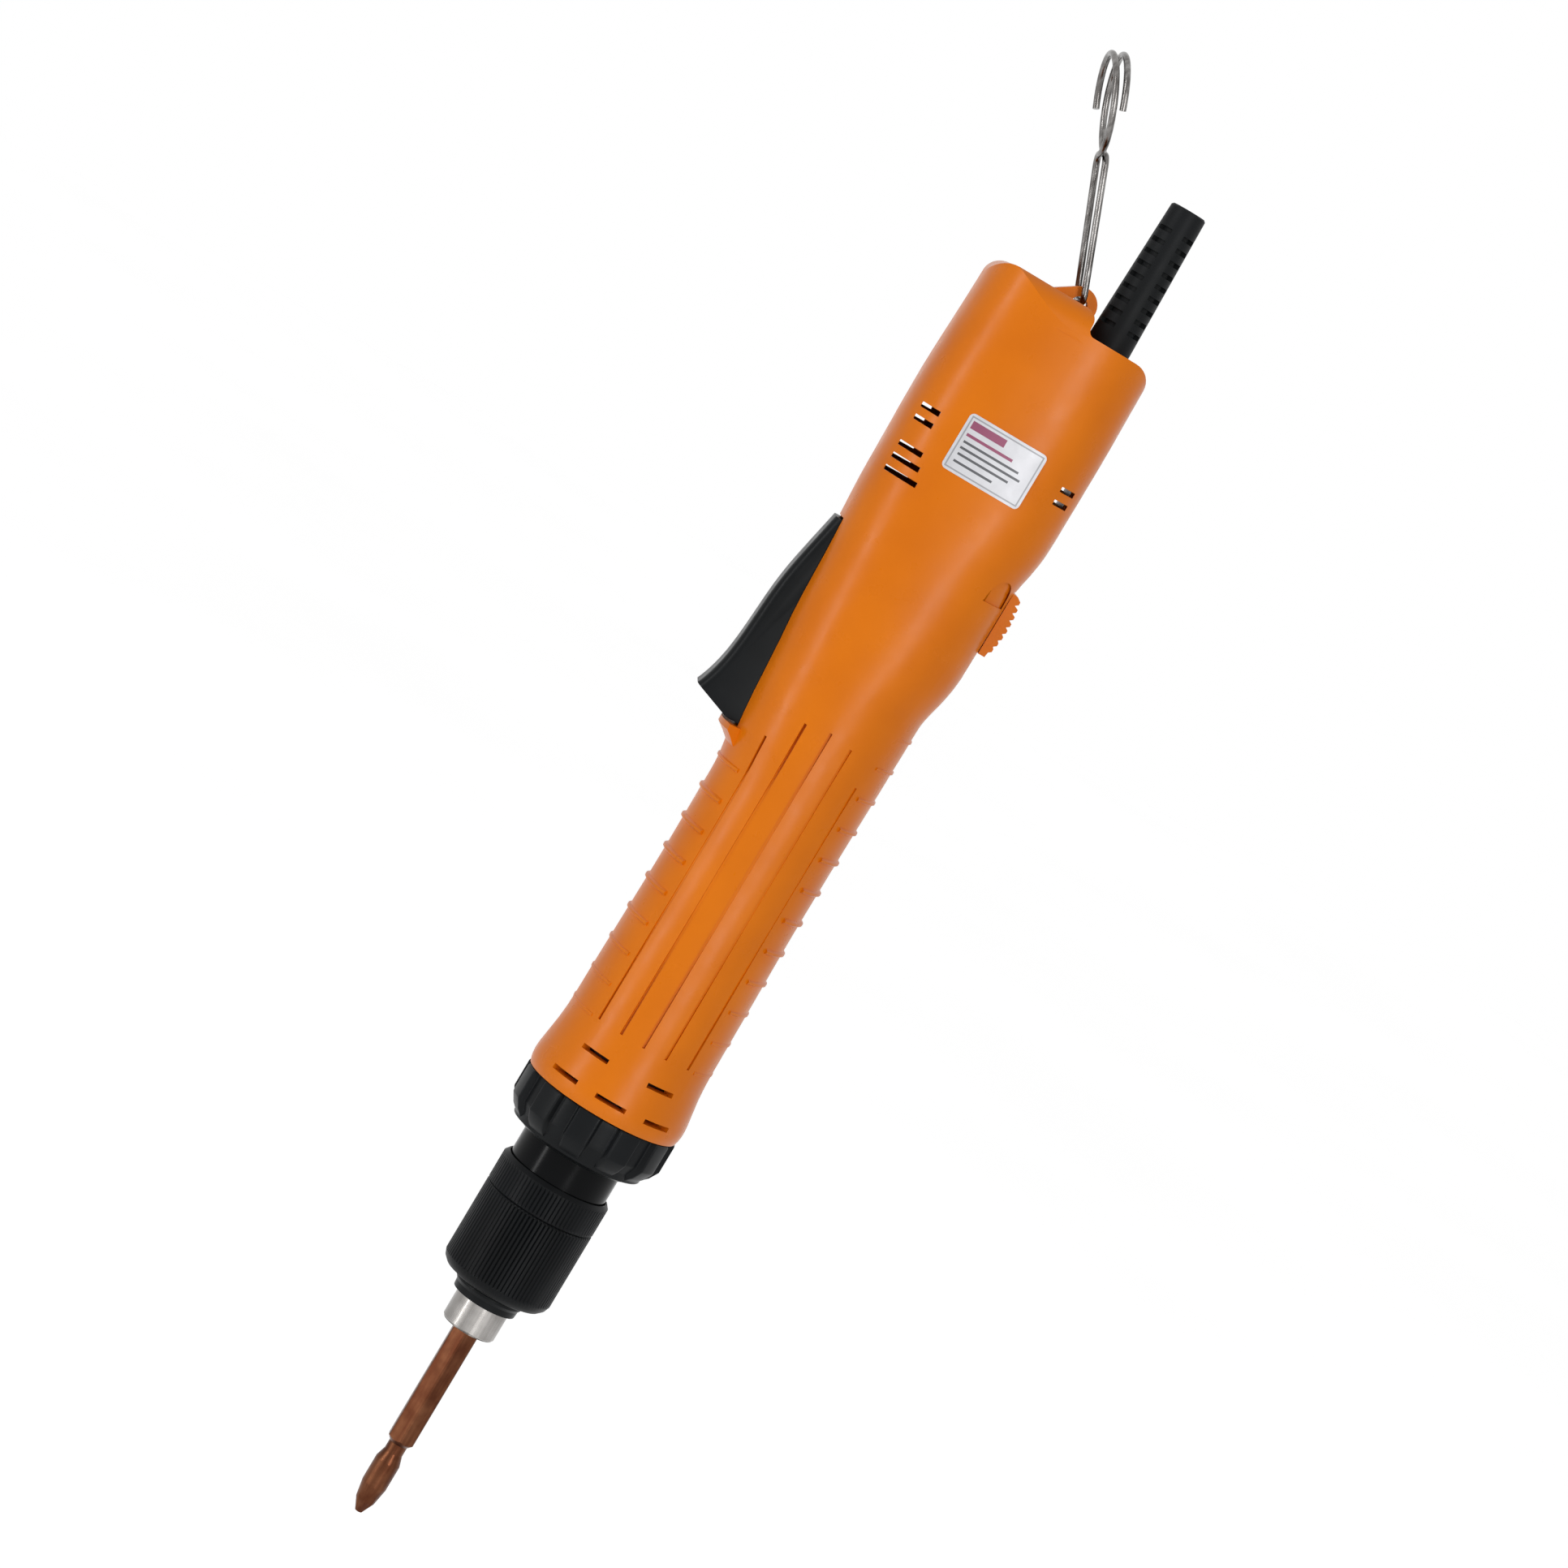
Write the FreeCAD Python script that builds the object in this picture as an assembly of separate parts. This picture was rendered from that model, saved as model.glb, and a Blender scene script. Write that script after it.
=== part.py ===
import FreeCAD, Part
import math
import os

from FreeCAD import Vector

# Lever-start electric torque screwdriver on a suspension hook. All sizes are in millimetres.
# The drive axis is Z and the origin is on it, at the front face of the steel bit sleeve.
# +Z runs to the tail, -Y is the label side, -X the lever side and +X the direction-switch side.

# Clearances
RUN_FIT = 0.05
SEAT_GAP = 0.1
FREE_GAP = 0.3

# Double-ended cross-head bit
BIT_AF = 6.35
BIT_LENGTH = 75.0
BIT_REACH = 51.5
BIT_HEAD_DIA = 6.3
BIT_HEAD_LENGTH = 14.0
BIT_TIP_DIA = 1.8
BIT_TIP_LENGTH = 7.5
BIT_NECK_DIA = 4.7
BIT_NECK_START = 16.6
BIT_NECK_LENGTH = 2.4
BIT_WING = 1.1
BIT_FLUTE_LENGTH = 12.0

# Spindle and bit sleeve
SPINDLE_FRONT_Z = 0.4
SOCKET_WALL = 1.3
SOCKET_FIT = 0.05
LOCK_BALL_DIA = 2.4
SLEEVE_DIA = 13.6
SLEEVE_LENGTH = 7.5
SLEEVE_BORE = 12.2
SLEEVE_LAND = 2.3
SLEEVE_SPRING_WIRE = 0.5
RETAINER_THICK = 0.7
JOURNAL_DIA = 9.0
BUSH_WALL = 1.8

# Nose: cap, clutch housing, torque collar
NOSE_CAP_DIA = 17.6
NOSE_CAP_LENGTH = 3.2
NOSE_TUBE_DIA = 15.9
COLLAR_Z = 11.1
COLLAR_DIA = 28.2
COLLAR_LENGTH = 22.7
COLLAR_EDGE = 3.2
COLLAR_LIP = 2.4
LOCK_RING_LENGTH = 8.4
THREAD_DIA = 22.5
THREAD_PITCH = 1.0
COLLAR_TURNS_OUT = 1.0
NECK_DIA = 25.3
NECK_Z = 41.0
STEP_WALL_Z = 20.0
STEP_WALL = 2.2
CLUTCH_WALL = 1.35
PUSH_PIN_DIA = 1.6
PUSH_PIN_COUNT = 3
WASHER_THICK = 1.4
CLUTCH_SPRING_WIRE = 1.8
CLUTCH_SPRING_TURNS = 6
CLUTCH_BALL_DIA = 4.0
CLUTCH_BALL_COUNT = 6
CLUTCH_BALL_CIRCLE = 22.0
CLUTCH_PLATE_THICK = 1.6
CLUTCH_HUB_LENGTH = 4.3
CAM_HEIGHT = 0.8

# Coupling nut
NUT_Z = 49.5
NUT_DIA = 39.8
NUT_LENGTH = 13.3
NUT_LIP = 1.2
NUT_THREAD_DIA = 34.0
NUT_GRIP_COUNT = 10
NUT_GRIP_DEPTH = 0.9
NUT_GRIP_WIDTH = 3.6
NUT_EDGE = 3.4
FLANGE_LENGTH = 3.8

# Two-stage planetary gear train
GEAR_MODULE = 0.6
SUN_TEETH = 12
PLANET_TEETH = 15
RING_TEETH = SUN_TEETH + 2 * PLANET_TEETH
PLANET_COUNT = 3
TOOTH_SHARE = 0.42
TOOTH_SLOPE = 0.36
ADDENDUM = 0.8
DEDENDUM = 1.15
OUTPUT_GEAR_WIDTH = 6.0
INPUT_GEAR_WIDTH = 5.5
CARRIER_THICK = 2.4
CARRIER_PIN_DIA = 2.4
GEAR_RIM = 1.3
RING_WEB = 1.8
GEAR_WALL = 0.8
CASE_FRONT_WALL = 2.2
AXIAL_PLAY = 0.35

# Brushless motor
MOTOR_DIA = 31.0
MOTOR_LENGTH = 56.0
MOTOR_WALL = 0.9
MOTOR_PLATE = 2.2
SHAFT_DIA = 5.0
BEARING_DIA = 13.0
BEARING_WIDTH = 5.0
STATOR_LENGTH = 32.0
STATOR_SLOTS = 9
STATOR_YOKE = 2.3
ROTOR_DIA = 16.0
AIR_GAP = 0.5
TOOTH_WIDTH = 2.2

# Moulded housing halves
SHELL_SECTIONS = 36
GRIP_DIA = 36.6
FRONT_DIA = 39.2
HOUSING_Z = 62.9
HOUSING_TOP_Z = 279.1
STEP_DOWN = 5.3
STEP_X = 3.4
HEAD_LEVER_SIDE = 23.7
HEAD_SWITCH_SIDE = 23.1
HEAD_DEPTH = 39.6
SADDLE_X = 21.1
SADDLE_Z = 188.0
SADDLE_LENGTH = 27.0
TOP_RADIUS = 5.8
WALL = 2.2
CAVITY_TOP_GAP = 2.6
CHAMBER_WALL = 3.25
CHAMBER_CORNER = 9.0
RIB_FIRST_Z = 81.6
RIB_PITCH = 8.25
RIBS_LEVER_SIDE = 9
RIBS_SWITCH_SIDE = 12
RIB_HEIGHT = 0.5
RIB_WIDTH = 1.6
RIB_HALF_ANGLE = 43.0
GROOVE_DEPTH = 0.35
GROOVE_WIDTH = 0.7
GROOVE_BOTTOM_Z = 81.8
GROOVES = ((0.0, 166.4), (18.6, 165.3), (39.6, 158.0))
FRONT_VENT_HEIGHT = 1.2
FRONT_VENT_SPAN = 23.0
FRONT_VENTS = ((67.0, 0.0), (67.0, 38.0), (74.8, 27.5))
HEAD_VENT_HEIGHT = 1.3
HEAD_VENT_START_Y = 8.3
HEAD_VENTS = ((241.3, -20.4, -15.9), (238.1, -20.4, -15.9), (231.3, -20.4, -14.6),
              (228.1, -20.3, -13.5), (224.8, -20.3, -12.3), (240.8, 16.6, 20.3), (237.5, 16.6, 20.3))
SCREW_POSTS = ((-12.6, 255.0), (12.6, 225.0), (-12.6, 217.2))
SCREW_DIA = 2.6
SCREW_HEAD_DIA = 4.8
SCREW_POST_REACH = 16.5
POST_DIA = 5.2

# Start lever
LEVER_PIVOT_X = -18.6
LEVER_PIVOT_Z = 205.6
LEVER_PIN_DIA = 3.0
LEVER_WIDTH = 13.0
LEVER_WALL = 1.8
LEVER_TIP_X = -31.5
LEVER_TIP_Z = 159.8
LEVER_ROOT_Z = 156.3
LEVER_TOP_Z = 209.0
LEVER_SPRING_Z = 190.0
LEVER_SPRING_DIA = 4.6
LEVER_SPRING_WIRE = 0.7
LEVER_SPRING_TURNS = 5
SPRING_POST_X = -8.5
LEVER_LIP_X = 22.6
LEVER_LIP_HALF_ANGLE = 26.0

# Direction switch
KNOB_Z = 198.4
KNOB_LENGTH = 16.0
KNOB_WIDTH = 11.0
KNOB_PEAK_X = 24.0
KNOB_TEETH = 8
KNOB_TRAVEL = 5.0
KNOB_STEM = 4.0
KNOB_RECESS = 0.6
SWITCH_FACE_X = 14.5

# Suspension ear and hook
EAR_X = -0.3
EAR_HOLE_Z = 278.7
EAR_HOLE_DIA = 4.0
EAR_DIA = 8.6
EAR_THICK = 5.0
EAR_FLANK = 7.6
EAR_FLANK_ANGLE = 120.0
HOOK_WIRE = 1.6
HOOK_LEAN = 22.4
HOOK_LENGTH = 45.2
HOOK_RING_DIA = 23.0
HOOK_LEG_SPAN = 9.0
HOOK_NECK_SPAN = 3.0
HOOK_BEND = 1.7
HOOK_SHOULDER = 3.0
HOOK_PLANE_TILT = 1.4
HOOK_TWIST = 5.0
HOOK_END_ANGLE = 186.0
EAR_POCKET_DEPTH = 4.2

# Cord boot
BOOT_X = 10.7
BOOT_BASE_DIA = 10.8
BOOT_END_DIA = 8.9
BOOT_TOP_Z = 309.9
BOOT_BORE = 5.5
BOOT_FLANGE_DIA = 14.0
BOOT_FLANGE = 2.4
BOOT_SLOT_ROWS = 9
BOOT_SLOT_PITCH = 3.1
BOOT_SLOT_HEIGHT = 1.1
BOOT_SLOT_DEPTH = 1.1

# Electronics
BOARD_THICK = 1.6
BOARD_Y = 6.0
BOARD_WIDTH = 19.0
BOARD_Z = 194.5
BOARD_LENGTH = 66.0
CAPACITOR_DIA = 8.0
SWITCH_X = -6.2
SWITCH_Z = 172.0
SWITCH_SIZE = (6.4, 6.4, 20.0)

# Derived places along the drive axis
SOCKET_AF = BIT_AF + 2 * SOCKET_FIT
SPINDLE_DIA = SOCKET_AF * 2 / math.sqrt(3) + 2 * (SOCKET_WALL - 0.25)
LOCK_BALL_Z = BIT_LENGTH - BIT_REACH - BIT_NECK_START - BIT_NECK_LENGTH / 2
NOSE_Z = SLEEVE_LENGTH + 2 * SEAT_GAP
NOSE_CAP_TOP_Z = NOSE_Z + NOSE_CAP_LENGTH
BUSH_DIA = JOURNAL_DIA + 2 * BUSH_WALL
LIP_TOP_Z = COLLAR_Z + COLLAR_LIP
LOCK_RING_Z = COLLAR_Z + COLLAR_LENGTH
SPIGOT = 1.3
CAVITY_Z = STEP_WALL_Z + STEP_WALL
WASHER_Z = CAVITY_Z + COLLAR_TURNS_OUT * THREAD_PITCH + FREE_GAP
CAVITY_DIA = THREAD_DIA - 2 * CLUTCH_WALL
PUSH_PIN_CIRCLE = CAVITY_DIA - PUSH_PIN_DIA - 4 * RUN_FIT
FLANGE_Z = NUT_Z + NUT_LIP + RUN_FIT
CASE_Z = FLANGE_Z + FLANGE_LENGTH
BALL_TOP_Z = CASE_Z + CASE_FRONT_WALL + CAM_HEIGHT + SEAT_GAP
PLATE_TOP_Z = BALL_TOP_Z - CLUTCH_BALL_DIA
PLATE_Z = PLATE_TOP_Z - CLUTCH_PLATE_THICK
HUB_Z = PLATE_Z - CLUTCH_HUB_LENGTH
RING_Z = BALL_TOP_Z
OUTPUT_CARRIER_Z = RING_Z + RING_WEB + AXIAL_PLAY
OUTPUT_GEAR_Z = OUTPUT_CARRIER_Z + CARRIER_THICK + AXIAL_PLAY
INPUT_CARRIER_Z = OUTPUT_GEAR_Z + OUTPUT_GEAR_WIDTH + AXIAL_PLAY
INPUT_GEAR_Z = INPUT_CARRIER_Z + CARRIER_THICK + AXIAL_PLAY
RING_TOP_Z = INPUT_GEAR_Z + INPUT_GEAR_WIDTH + AXIAL_PLAY
CASE_TOP_Z = RING_TOP_Z + 1.5
MOTOR_Z = CASE_TOP_Z + SEAT_GAP
MOTOR_TOP_Z = MOTOR_Z + MOTOR_LENGTH
PLANET_CIRCLE = GEAR_MODULE * (SUN_TEETH + PLANET_TEETH)
RING_DIA = GEAR_MODULE * (RING_TEETH + 2 * DEDENDUM) + 2 * GEAR_RIM
GEAR_BORE = RING_DIA + 2 * SEAT_GAP
CASE_DIA = GEAR_BORE + 2 * GEAR_WALL
CASE_THREAD_DIA = NUT_THREAD_DIA - 2 * SEAT_GAP
FLANGE_DIA = CASE_THREAD_DIA - 0.8
BORE_DIA = max(CASE_DIA, MOTOR_DIA) + 2 * FREE_GAP
REAR_BUSH_DIA = JOURNAL_DIA + 2 * 2.5
LOW_TOP_Z = HOUSING_TOP_Z - STEP_DOWN
HOOK_PIVOT_Z = EAR_HOLE_Z + EAR_HOLE_DIA / 2 - HOOK_WIRE / 2 - FREE_GAP
FAR = 400.0


def turned(profile, x=0.0, y=0.0):
    """Solid turned about an upright axis from (radius, height) corners."""
    corners = [Vector(radius, 0, height) for radius, height in profile]
    corners.append(corners[0])
    face = Part.Face(Part.makePolygon(corners))
    solid = face.revolve(Vector(0, 0, 0), Vector(0, 0, 1), 360)
    solid.translate(Vector(x, y, 0))
    return solid


def tube(outer_dia, inner_dia, low, high, x=0.0, y=0.0):
    """Upright ring or sleeve."""
    outer = outer_dia / 2
    inner = inner_dia / 2
    return turned([(inner, low), (outer, low), (outer, high), (inner, high)], x, y)


def rod(dia, low, high, x=0.0, y=0.0):
    """Upright cylinder."""
    return Part.makeCylinder(dia / 2, high - low, Vector(x, y, low))


def rod_along(axis, dia, start, length):
    """Cylinder from a start point along an axis."""
    return Part.makeCylinder(dia / 2, length, start, axis)


def block(x_range, y_range, z_range):
    """Box between two values on each axis."""
    size = [high - low for low, high in (x_range, y_range, z_range)]
    corner = Vector(x_range[0], y_range[0], z_range[0])
    return Part.makeBox(size[0], size[1], size[2], corner)


def polygon_face(points):
    """Flat face through a closed run of points."""
    return Part.Face(Part.makePolygon(list(points) + [points[0]]))


def prism(points_xy, low, high):
    """Upright prism on (x, y) corners."""
    face = polygon_face([Vector(x, y, low) for x, y in points_xy])
    return face.extrude(Vector(0, 0, high - low))


def side_plate(points_xz, y_low, y_high):
    """Prism along Y on (x, z) corners."""
    face = polygon_face([Vector(x, y_low, z) for x, z in points_xz])
    return face.extrude(Vector(0, y_high - y_low, 0))


def polar(radius, degrees, z=0.0):
    """Point at a radius and an angle about the drive axis."""
    angle = math.radians(degrees)
    return Vector(radius * math.cos(angle), radius * math.sin(angle), z)


def around(shape, count, phase=0.0):
    """Copies of a shape, evenly spaced about the drive axis."""
    copies = []
    for index in range(count):
        copy = shape.copy()
        copy.rotate(Vector(0, 0, 0), Vector(0, 0, 1), phase + index * 360.0 / count)
        copies.append(copy)
    return copies


def fused(shapes):
    """One solid from shapes that overlap or touch."""
    first = shapes[0].fuse(shapes[1:])
    return first.removeSplitter()


def save(name, shapes):
    """Write one sub-part, as one solid or as a group of separate solids."""
    shape = shapes[0] if len(shapes) == 1 else Part.makeCompound(shapes)
    shape.exportStep("parts/" + name + ".step")


def hexagon(across_flats):
    """Corners of a hexagon with a flat on each side of X."""
    radius = across_flats / math.sqrt(3)
    return [(radius * math.cos(math.radians(60 * k + 30)), radius * math.sin(math.radians(60 * k + 30)))
            for k in range(6)]


def coil(wire_dia, mean_dia, low, high, turns, x=0.0, y=0.0):
    """Compression spring between two heights, as a run of sloping rings joined into one helix."""
    pitch = (high - low - wire_dia) / turns
    helix = Part.makeHelix(pitch, pitch * turns, mean_dia / 2)
    circle = Part.makeCircle(wire_dia / 2, Vector(mean_dia / 2, 0, 0), Vector(0, 1, 0))
    spring = Part.Wire(helix.Edges).makePipeShell([Part.Wire([circle])], True, True)
    spring.translate(Vector(x, y, low + wire_dia / 2))
    return spring


# Drive bit

def bit_flute(z_tip, direction):
    """Four tapered notches that leave the wings of one cross-head end."""
    near = BIT_WING / 2
    far = BIT_HEAD_DIA
    end = BIT_HEAD_DIA / 2 + near
    wires = []
    for inner, z in ((near, z_tip), (end, z_tip + direction * BIT_FLUTE_LENGTH)):
        corners = [(inner, inner), (inner + far, inner), (inner + far, inner + far), (inner, inner + far)]
        points = [Vector(x, y, z) for x, y in corners]
        wires.append(Part.makePolygon(points + [points[0]]))
    notch = Part.makeLoft(wires, True, True)
    return around(notch, 4)


def make_bit():
    """Double-ended bit: a hexagon shank with a waist and a cross head at both ends."""
    tip_z = -BIT_REACH
    tail_z = tip_z + BIT_LENGTH
    shank_radius = BIT_AF / math.sqrt(3) - 0.12
    shank_start = BIT_NECK_START + BIT_NECK_LENGTH + 1.3
    half = [(0.0, 0.0), (BIT_TIP_DIA / 2, 0.0), (BIT_HEAD_DIA * 0.38, BIT_TIP_LENGTH * 0.42),
            (BIT_HEAD_DIA / 2, BIT_TIP_LENGTH), (BIT_HEAD_DIA / 2, BIT_HEAD_LENGTH),
            (BIT_NECK_DIA / 2, BIT_NECK_START), (BIT_NECK_DIA / 2, BIT_NECK_START + BIT_NECK_LENGTH)]
    body = []
    for start, way in ((tip_z, 1), (tail_z, -1)):
        head = turned([(radius, start + way * reach) for radius, reach in half]
                      + [(0.0, start + way * (BIT_NECK_START + BIT_NECK_LENGTH))])
        for notch in bit_flute(start, way):
            head = head.cut(notch)
        body.append(head)
    low = tip_z + BIT_NECK_START + BIT_NECK_LENGTH
    high = tail_z - BIT_NECK_START - BIT_NECK_LENGTH
    blend = shank_start - BIT_NECK_START - BIT_NECK_LENGTH
    envelope = turned([(0, low), (BIT_NECK_DIA / 2, low), (shank_radius, low + blend),
                       (shank_radius, high - blend), (BIT_NECK_DIA / 2, high), (0, high)])
    shank = prism(hexagon(BIT_AF), low, high).common(envelope)
    return fused([shank] + body)


# Spindle group

def make_spindle():
    """Output spindle: hexagon socket in front, journals, and a square that drives it."""
    square = JOURNAL_DIA * 0.62
    blank = turned([(0, SPINDLE_FRONT_Z), (SPINDLE_DIA / 2, SPINDLE_FRONT_Z), (SPINDLE_DIA / 2, NOSE_Z),
                    (JOURNAL_DIA / 2 + 0.0, NOSE_Z + 0.3), (JOURNAL_DIA / 2, OUTPUT_CARRIER_Z - AXIAL_PLAY),
                    (0, OUTPUT_CARRIER_Z - AXIAL_PLAY)])
    drive = block((-square / 2, square / 2), (-square / 2, square / 2),
                  (OUTPUT_CARRIER_Z - AXIAL_PLAY - 1, OUTPUT_CARRIER_Z + CARRIER_THICK))
    body = fused([blank, drive])
    depth = BIT_LENGTH - BIT_REACH + FREE_GAP
    body = body.cut(prism(hexagon(SOCKET_AF), SPINDLE_FRONT_Z - 1, depth))
    cross_hole = rod_along(Vector(1, 0, 0), LOCK_BALL_DIA + 2 * RUN_FIT,
                           Vector(-SPINDLE_DIA, 0, LOCK_BALL_Z), 2 * SPINDLE_DIA)
    return body.cut(cross_hole)


def make_lock_balls():
    """Two balls that drop into the waist of the bit."""
    centre = BIT_NECK_DIA / 2 + LOCK_BALL_DIA / 2 + RUN_FIT
    return [Part.makeSphere(LOCK_BALL_DIA / 2, Vector(side * centre, 0, LOCK_BALL_Z)) for side in (-1, 1)]


def make_bit_sleeve():
    """Turned steel sleeve whose inner land holds the balls in."""
    land = BIT_NECK_DIA / 2 + LOCK_BALL_DIA + 2 * RUN_FIT
    land_high = LOCK_BALL_Z + SLEEVE_LAND / 2
    land_low = LOCK_BALL_Z - SLEEVE_LAND / 2
    outer = SLEEVE_DIA / 2
    bore = SLEEVE_BORE / 2
    return turned([(bore, 0.35), (bore + 0.35, 0), (outer - 0.5, 0), (outer, 0.5), (outer, SLEEVE_LENGTH),
                   (bore, SLEEVE_LENGTH), (bore, land_high), (land, land_high), (land, land_low),
                   (bore, land_low)])


def make_sleeve_spring():
    """Return spring between the retaining ring and the land of the sleeve."""
    low = SPINDLE_FRONT_Z + RETAINER_THICK + SEAT_GAP
    high = LOCK_BALL_Z - SLEEVE_LAND / 2 - SEAT_GAP
    mean = (SPINDLE_DIA + SLEEVE_BORE) / 2
    return coil(SLEEVE_SPRING_WIRE, mean, low, high, 2)


# Clutch and torque collar

def make_clutch_housing():
    """Nose tube, step wall, threaded barrel, polished neck and clamped flange in one piece."""
    bush_seat = BUSH_DIA / 2 + RUN_FIT
    passage = JOURNAL_DIA / 2 + FREE_GAP * 2
    outline = [(bush_seat, NOSE_Z + 0.4), (NOSE_TUBE_DIA / 2, NOSE_Z + 0.4), (NOSE_TUBE_DIA / 2, STEP_WALL_Z),
               (THREAD_DIA / 2, STEP_WALL_Z), (THREAD_DIA / 2, NECK_Z), (NECK_DIA / 2, NECK_Z),
               (NECK_DIA / 2, FLANGE_Z), (FLANGE_DIA / 2, FLANGE_Z), (FLANGE_DIA / 2, CASE_Z - RUN_FIT),
               (CLUTCH_BALL_CIRCLE / 2 + 3.0, CASE_Z - RUN_FIT), (CLUTCH_BALL_CIRCLE / 2 + 3.0, PLATE_Z - 0.4),
               (NECK_DIA / 2 - 1.85, PLATE_Z - 0.4), (NECK_DIA / 2 - 1.85, NECK_Z + 3.0),
               (CAVITY_DIA / 2, NECK_Z + 1.0), (CAVITY_DIA / 2, CAVITY_Z), (passage, CAVITY_Z),
               (passage, STEP_WALL_Z - 2.0), (bush_seat, STEP_WALL_Z - 2.0)]
    body = turned(outline)
    hole = rod(PUSH_PIN_DIA + 2 * RUN_FIT, STEP_WALL_Z - 1, CAVITY_Z + 1, PUSH_PIN_CIRCLE / 2)
    for cut in around(hole, PUSH_PIN_COUNT):
        body = body.cut(cut)
    return body


def make_nose_cap():
    """Flared ring on the nose tube that keeps the collar from running off."""
    inner = NOSE_TUBE_DIA / 2 + RUN_FIT
    outer = NOSE_CAP_DIA / 2
    mouth = SLEEVE_DIA / 2 + FREE_GAP
    return turned([(mouth, NOSE_Z), (outer - 0.65, NOSE_Z), (outer - 0.5, NOSE_Z + 1.6),
                   (outer, NOSE_CAP_TOP_Z - 0.8), (outer, NOSE_CAP_TOP_Z - 0.2), (outer - 0.2, NOSE_CAP_TOP_Z),
                   (inner, NOSE_CAP_TOP_Z), (inner, NOSE_Z + 0.4 - RUN_FIT), (mouth, NOSE_Z + 0.4 - RUN_FIT)])


def make_torque_collar():
    """Knurled sleeve that screws along the barrel and pushes the pins."""
    outer = COLLAR_DIA / 2
    edge = COLLAR_EDGE
    mouth = NOSE_CAP_DIA / 2 + FREE_GAP
    inner_lip = NOSE_TUBE_DIA / 2 + FREE_GAP
    thread = THREAD_DIA / 2 + RUN_FIT
    spigot = NECK_DIA / 2 - RUN_FIT
    return turned([(mouth, COLLAR_Z), (outer - edge - 0.9, COLLAR_Z), (outer - edge * 0.48, COLLAR_Z + edge * 0.27),
                   (outer - edge * 0.15, COLLAR_Z + edge * 0.6), (outer, COLLAR_Z + edge),
                   (outer, LOCK_RING_Z), (spigot, LOCK_RING_Z), (spigot, LOCK_RING_Z + SPIGOT),
                   (thread, LOCK_RING_Z + SPIGOT), (thread, LIP_TOP_Z), (inner_lip, LIP_TOP_Z),
                   (inner_lip, COLLAR_Z + 1.0), (mouth, COLLAR_Z + 1.0)])


def make_lock_ring():
    """Upper knurled ring that locks the collar and hides the thread."""
    outer = COLLAR_DIA / 2
    low = LOCK_RING_Z + SEAT_GAP
    high = LOCK_RING_Z + LOCK_RING_LENGTH
    inner = NECK_DIA / 2 + FREE_GAP
    return turned([(inner, low), (outer - 0.35, low), (outer, low + 0.35), (outer, high - 1.0),
                   (outer - 0.8, high), (inner, high)])


def make_push_pins():
    """Pins that carry the collar's push through the step wall."""
    pin = rod(PUSH_PIN_DIA, LIP_TOP_Z, WASHER_Z, PUSH_PIN_CIRCLE / 2)
    return around(pin, PUSH_PIN_COUNT)


def make_clutch_plate():
    """Stepped plate between the clutch spring and the balls."""
    bore = JOURNAL_DIA / 2 + FREE_GAP
    hub = CAVITY_DIA / 2 - FREE_GAP
    disc = CLUTCH_BALL_CIRCLE / 2 + 2.6
    return turned([(bore, HUB_Z), (hub, HUB_Z), (hub, PLATE_Z), (disc, PLATE_Z), (disc, PLATE_TOP_Z),
                   (bore, PLATE_TOP_Z)])


def make_clutch_balls():
    """Balls that press on the cam face of the ring gear."""
    ball = Part.makeSphere(CLUTCH_BALL_DIA / 2 - 0.01,
                           Vector(CLUTCH_BALL_CIRCLE / 2, 0, PLATE_TOP_Z + CLUTCH_BALL_DIA / 2))
    return around(ball, CLUTCH_BALL_COUNT)


# Coupling nut

def make_coupling_nut():
    """Castellated nut that clamps the clutch housing to the gear case."""
    outer = NUT_DIA / 2
    top = NUT_Z + NUT_LENGTH
    lip = NECK_DIA / 2 + FREE_GAP
    thread = NUT_THREAD_DIA / 2
    edge = NUT_EDGE
    body = turned([(lip, NUT_Z), (outer - edge * 1.75, NUT_Z), (outer - edge, NUT_Z + edge * 0.4),
                   (outer - edge * 0.4, NUT_Z + edge), (outer, NUT_Z + edge * 1.7), (outer, top - 0.4),
                   (outer - 0.4, top), (thread, top), (thread, NUT_Z + NUT_LIP), (lip, NUT_Z + NUT_LIP)])
    notch = block((outer - NUT_GRIP_DEPTH, outer + 2), (-NUT_GRIP_WIDTH / 2, NUT_GRIP_WIDTH / 2),
                  (NUT_Z - 1, top - 2.2))
    for cut in around(notch, NUT_GRIP_COUNT, 180.0 / NUT_GRIP_COUNT):
        body = body.cut(cut)
    return body


# Gears

def tooth_outline(teeth, inner_radius, outer_radius):
    """Straight-flanked gear outline with one tooth centred on +X."""
    pitch_radius = GEAR_MODULE * teeth / 2
    half_at_pitch = TOOTH_SHARE * math.pi * GEAR_MODULE / 2
    step = 360.0 / teeth
    outline = []
    for index in range(teeth):
        centre = index * step
        for radius, side in ((inner_radius, -1), (outer_radius, -1), (outer_radius, 1), (inner_radius, 1)):
            half = half_at_pitch - (radius - pitch_radius) * TOOTH_SLOPE
            swing = math.degrees(half / radius)
            point = polar(radius, centre + side * swing)
            outline.append((point.x, point.y))
    return outline


def spur_gear(teeth, low, high, bore):
    """External gear with a plain bore."""
    pitch_radius = GEAR_MODULE * teeth / 2
    outline = tooth_outline(teeth, pitch_radius - GEAR_MODULE * DEDENDUM,
                            pitch_radius + GEAR_MODULE * ADDENDUM)
    gear = prism(outline, low, high)
    if bore > 0:
        gear = gear.cut(rod(bore, low - 1, high + 1))
    return gear


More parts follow.
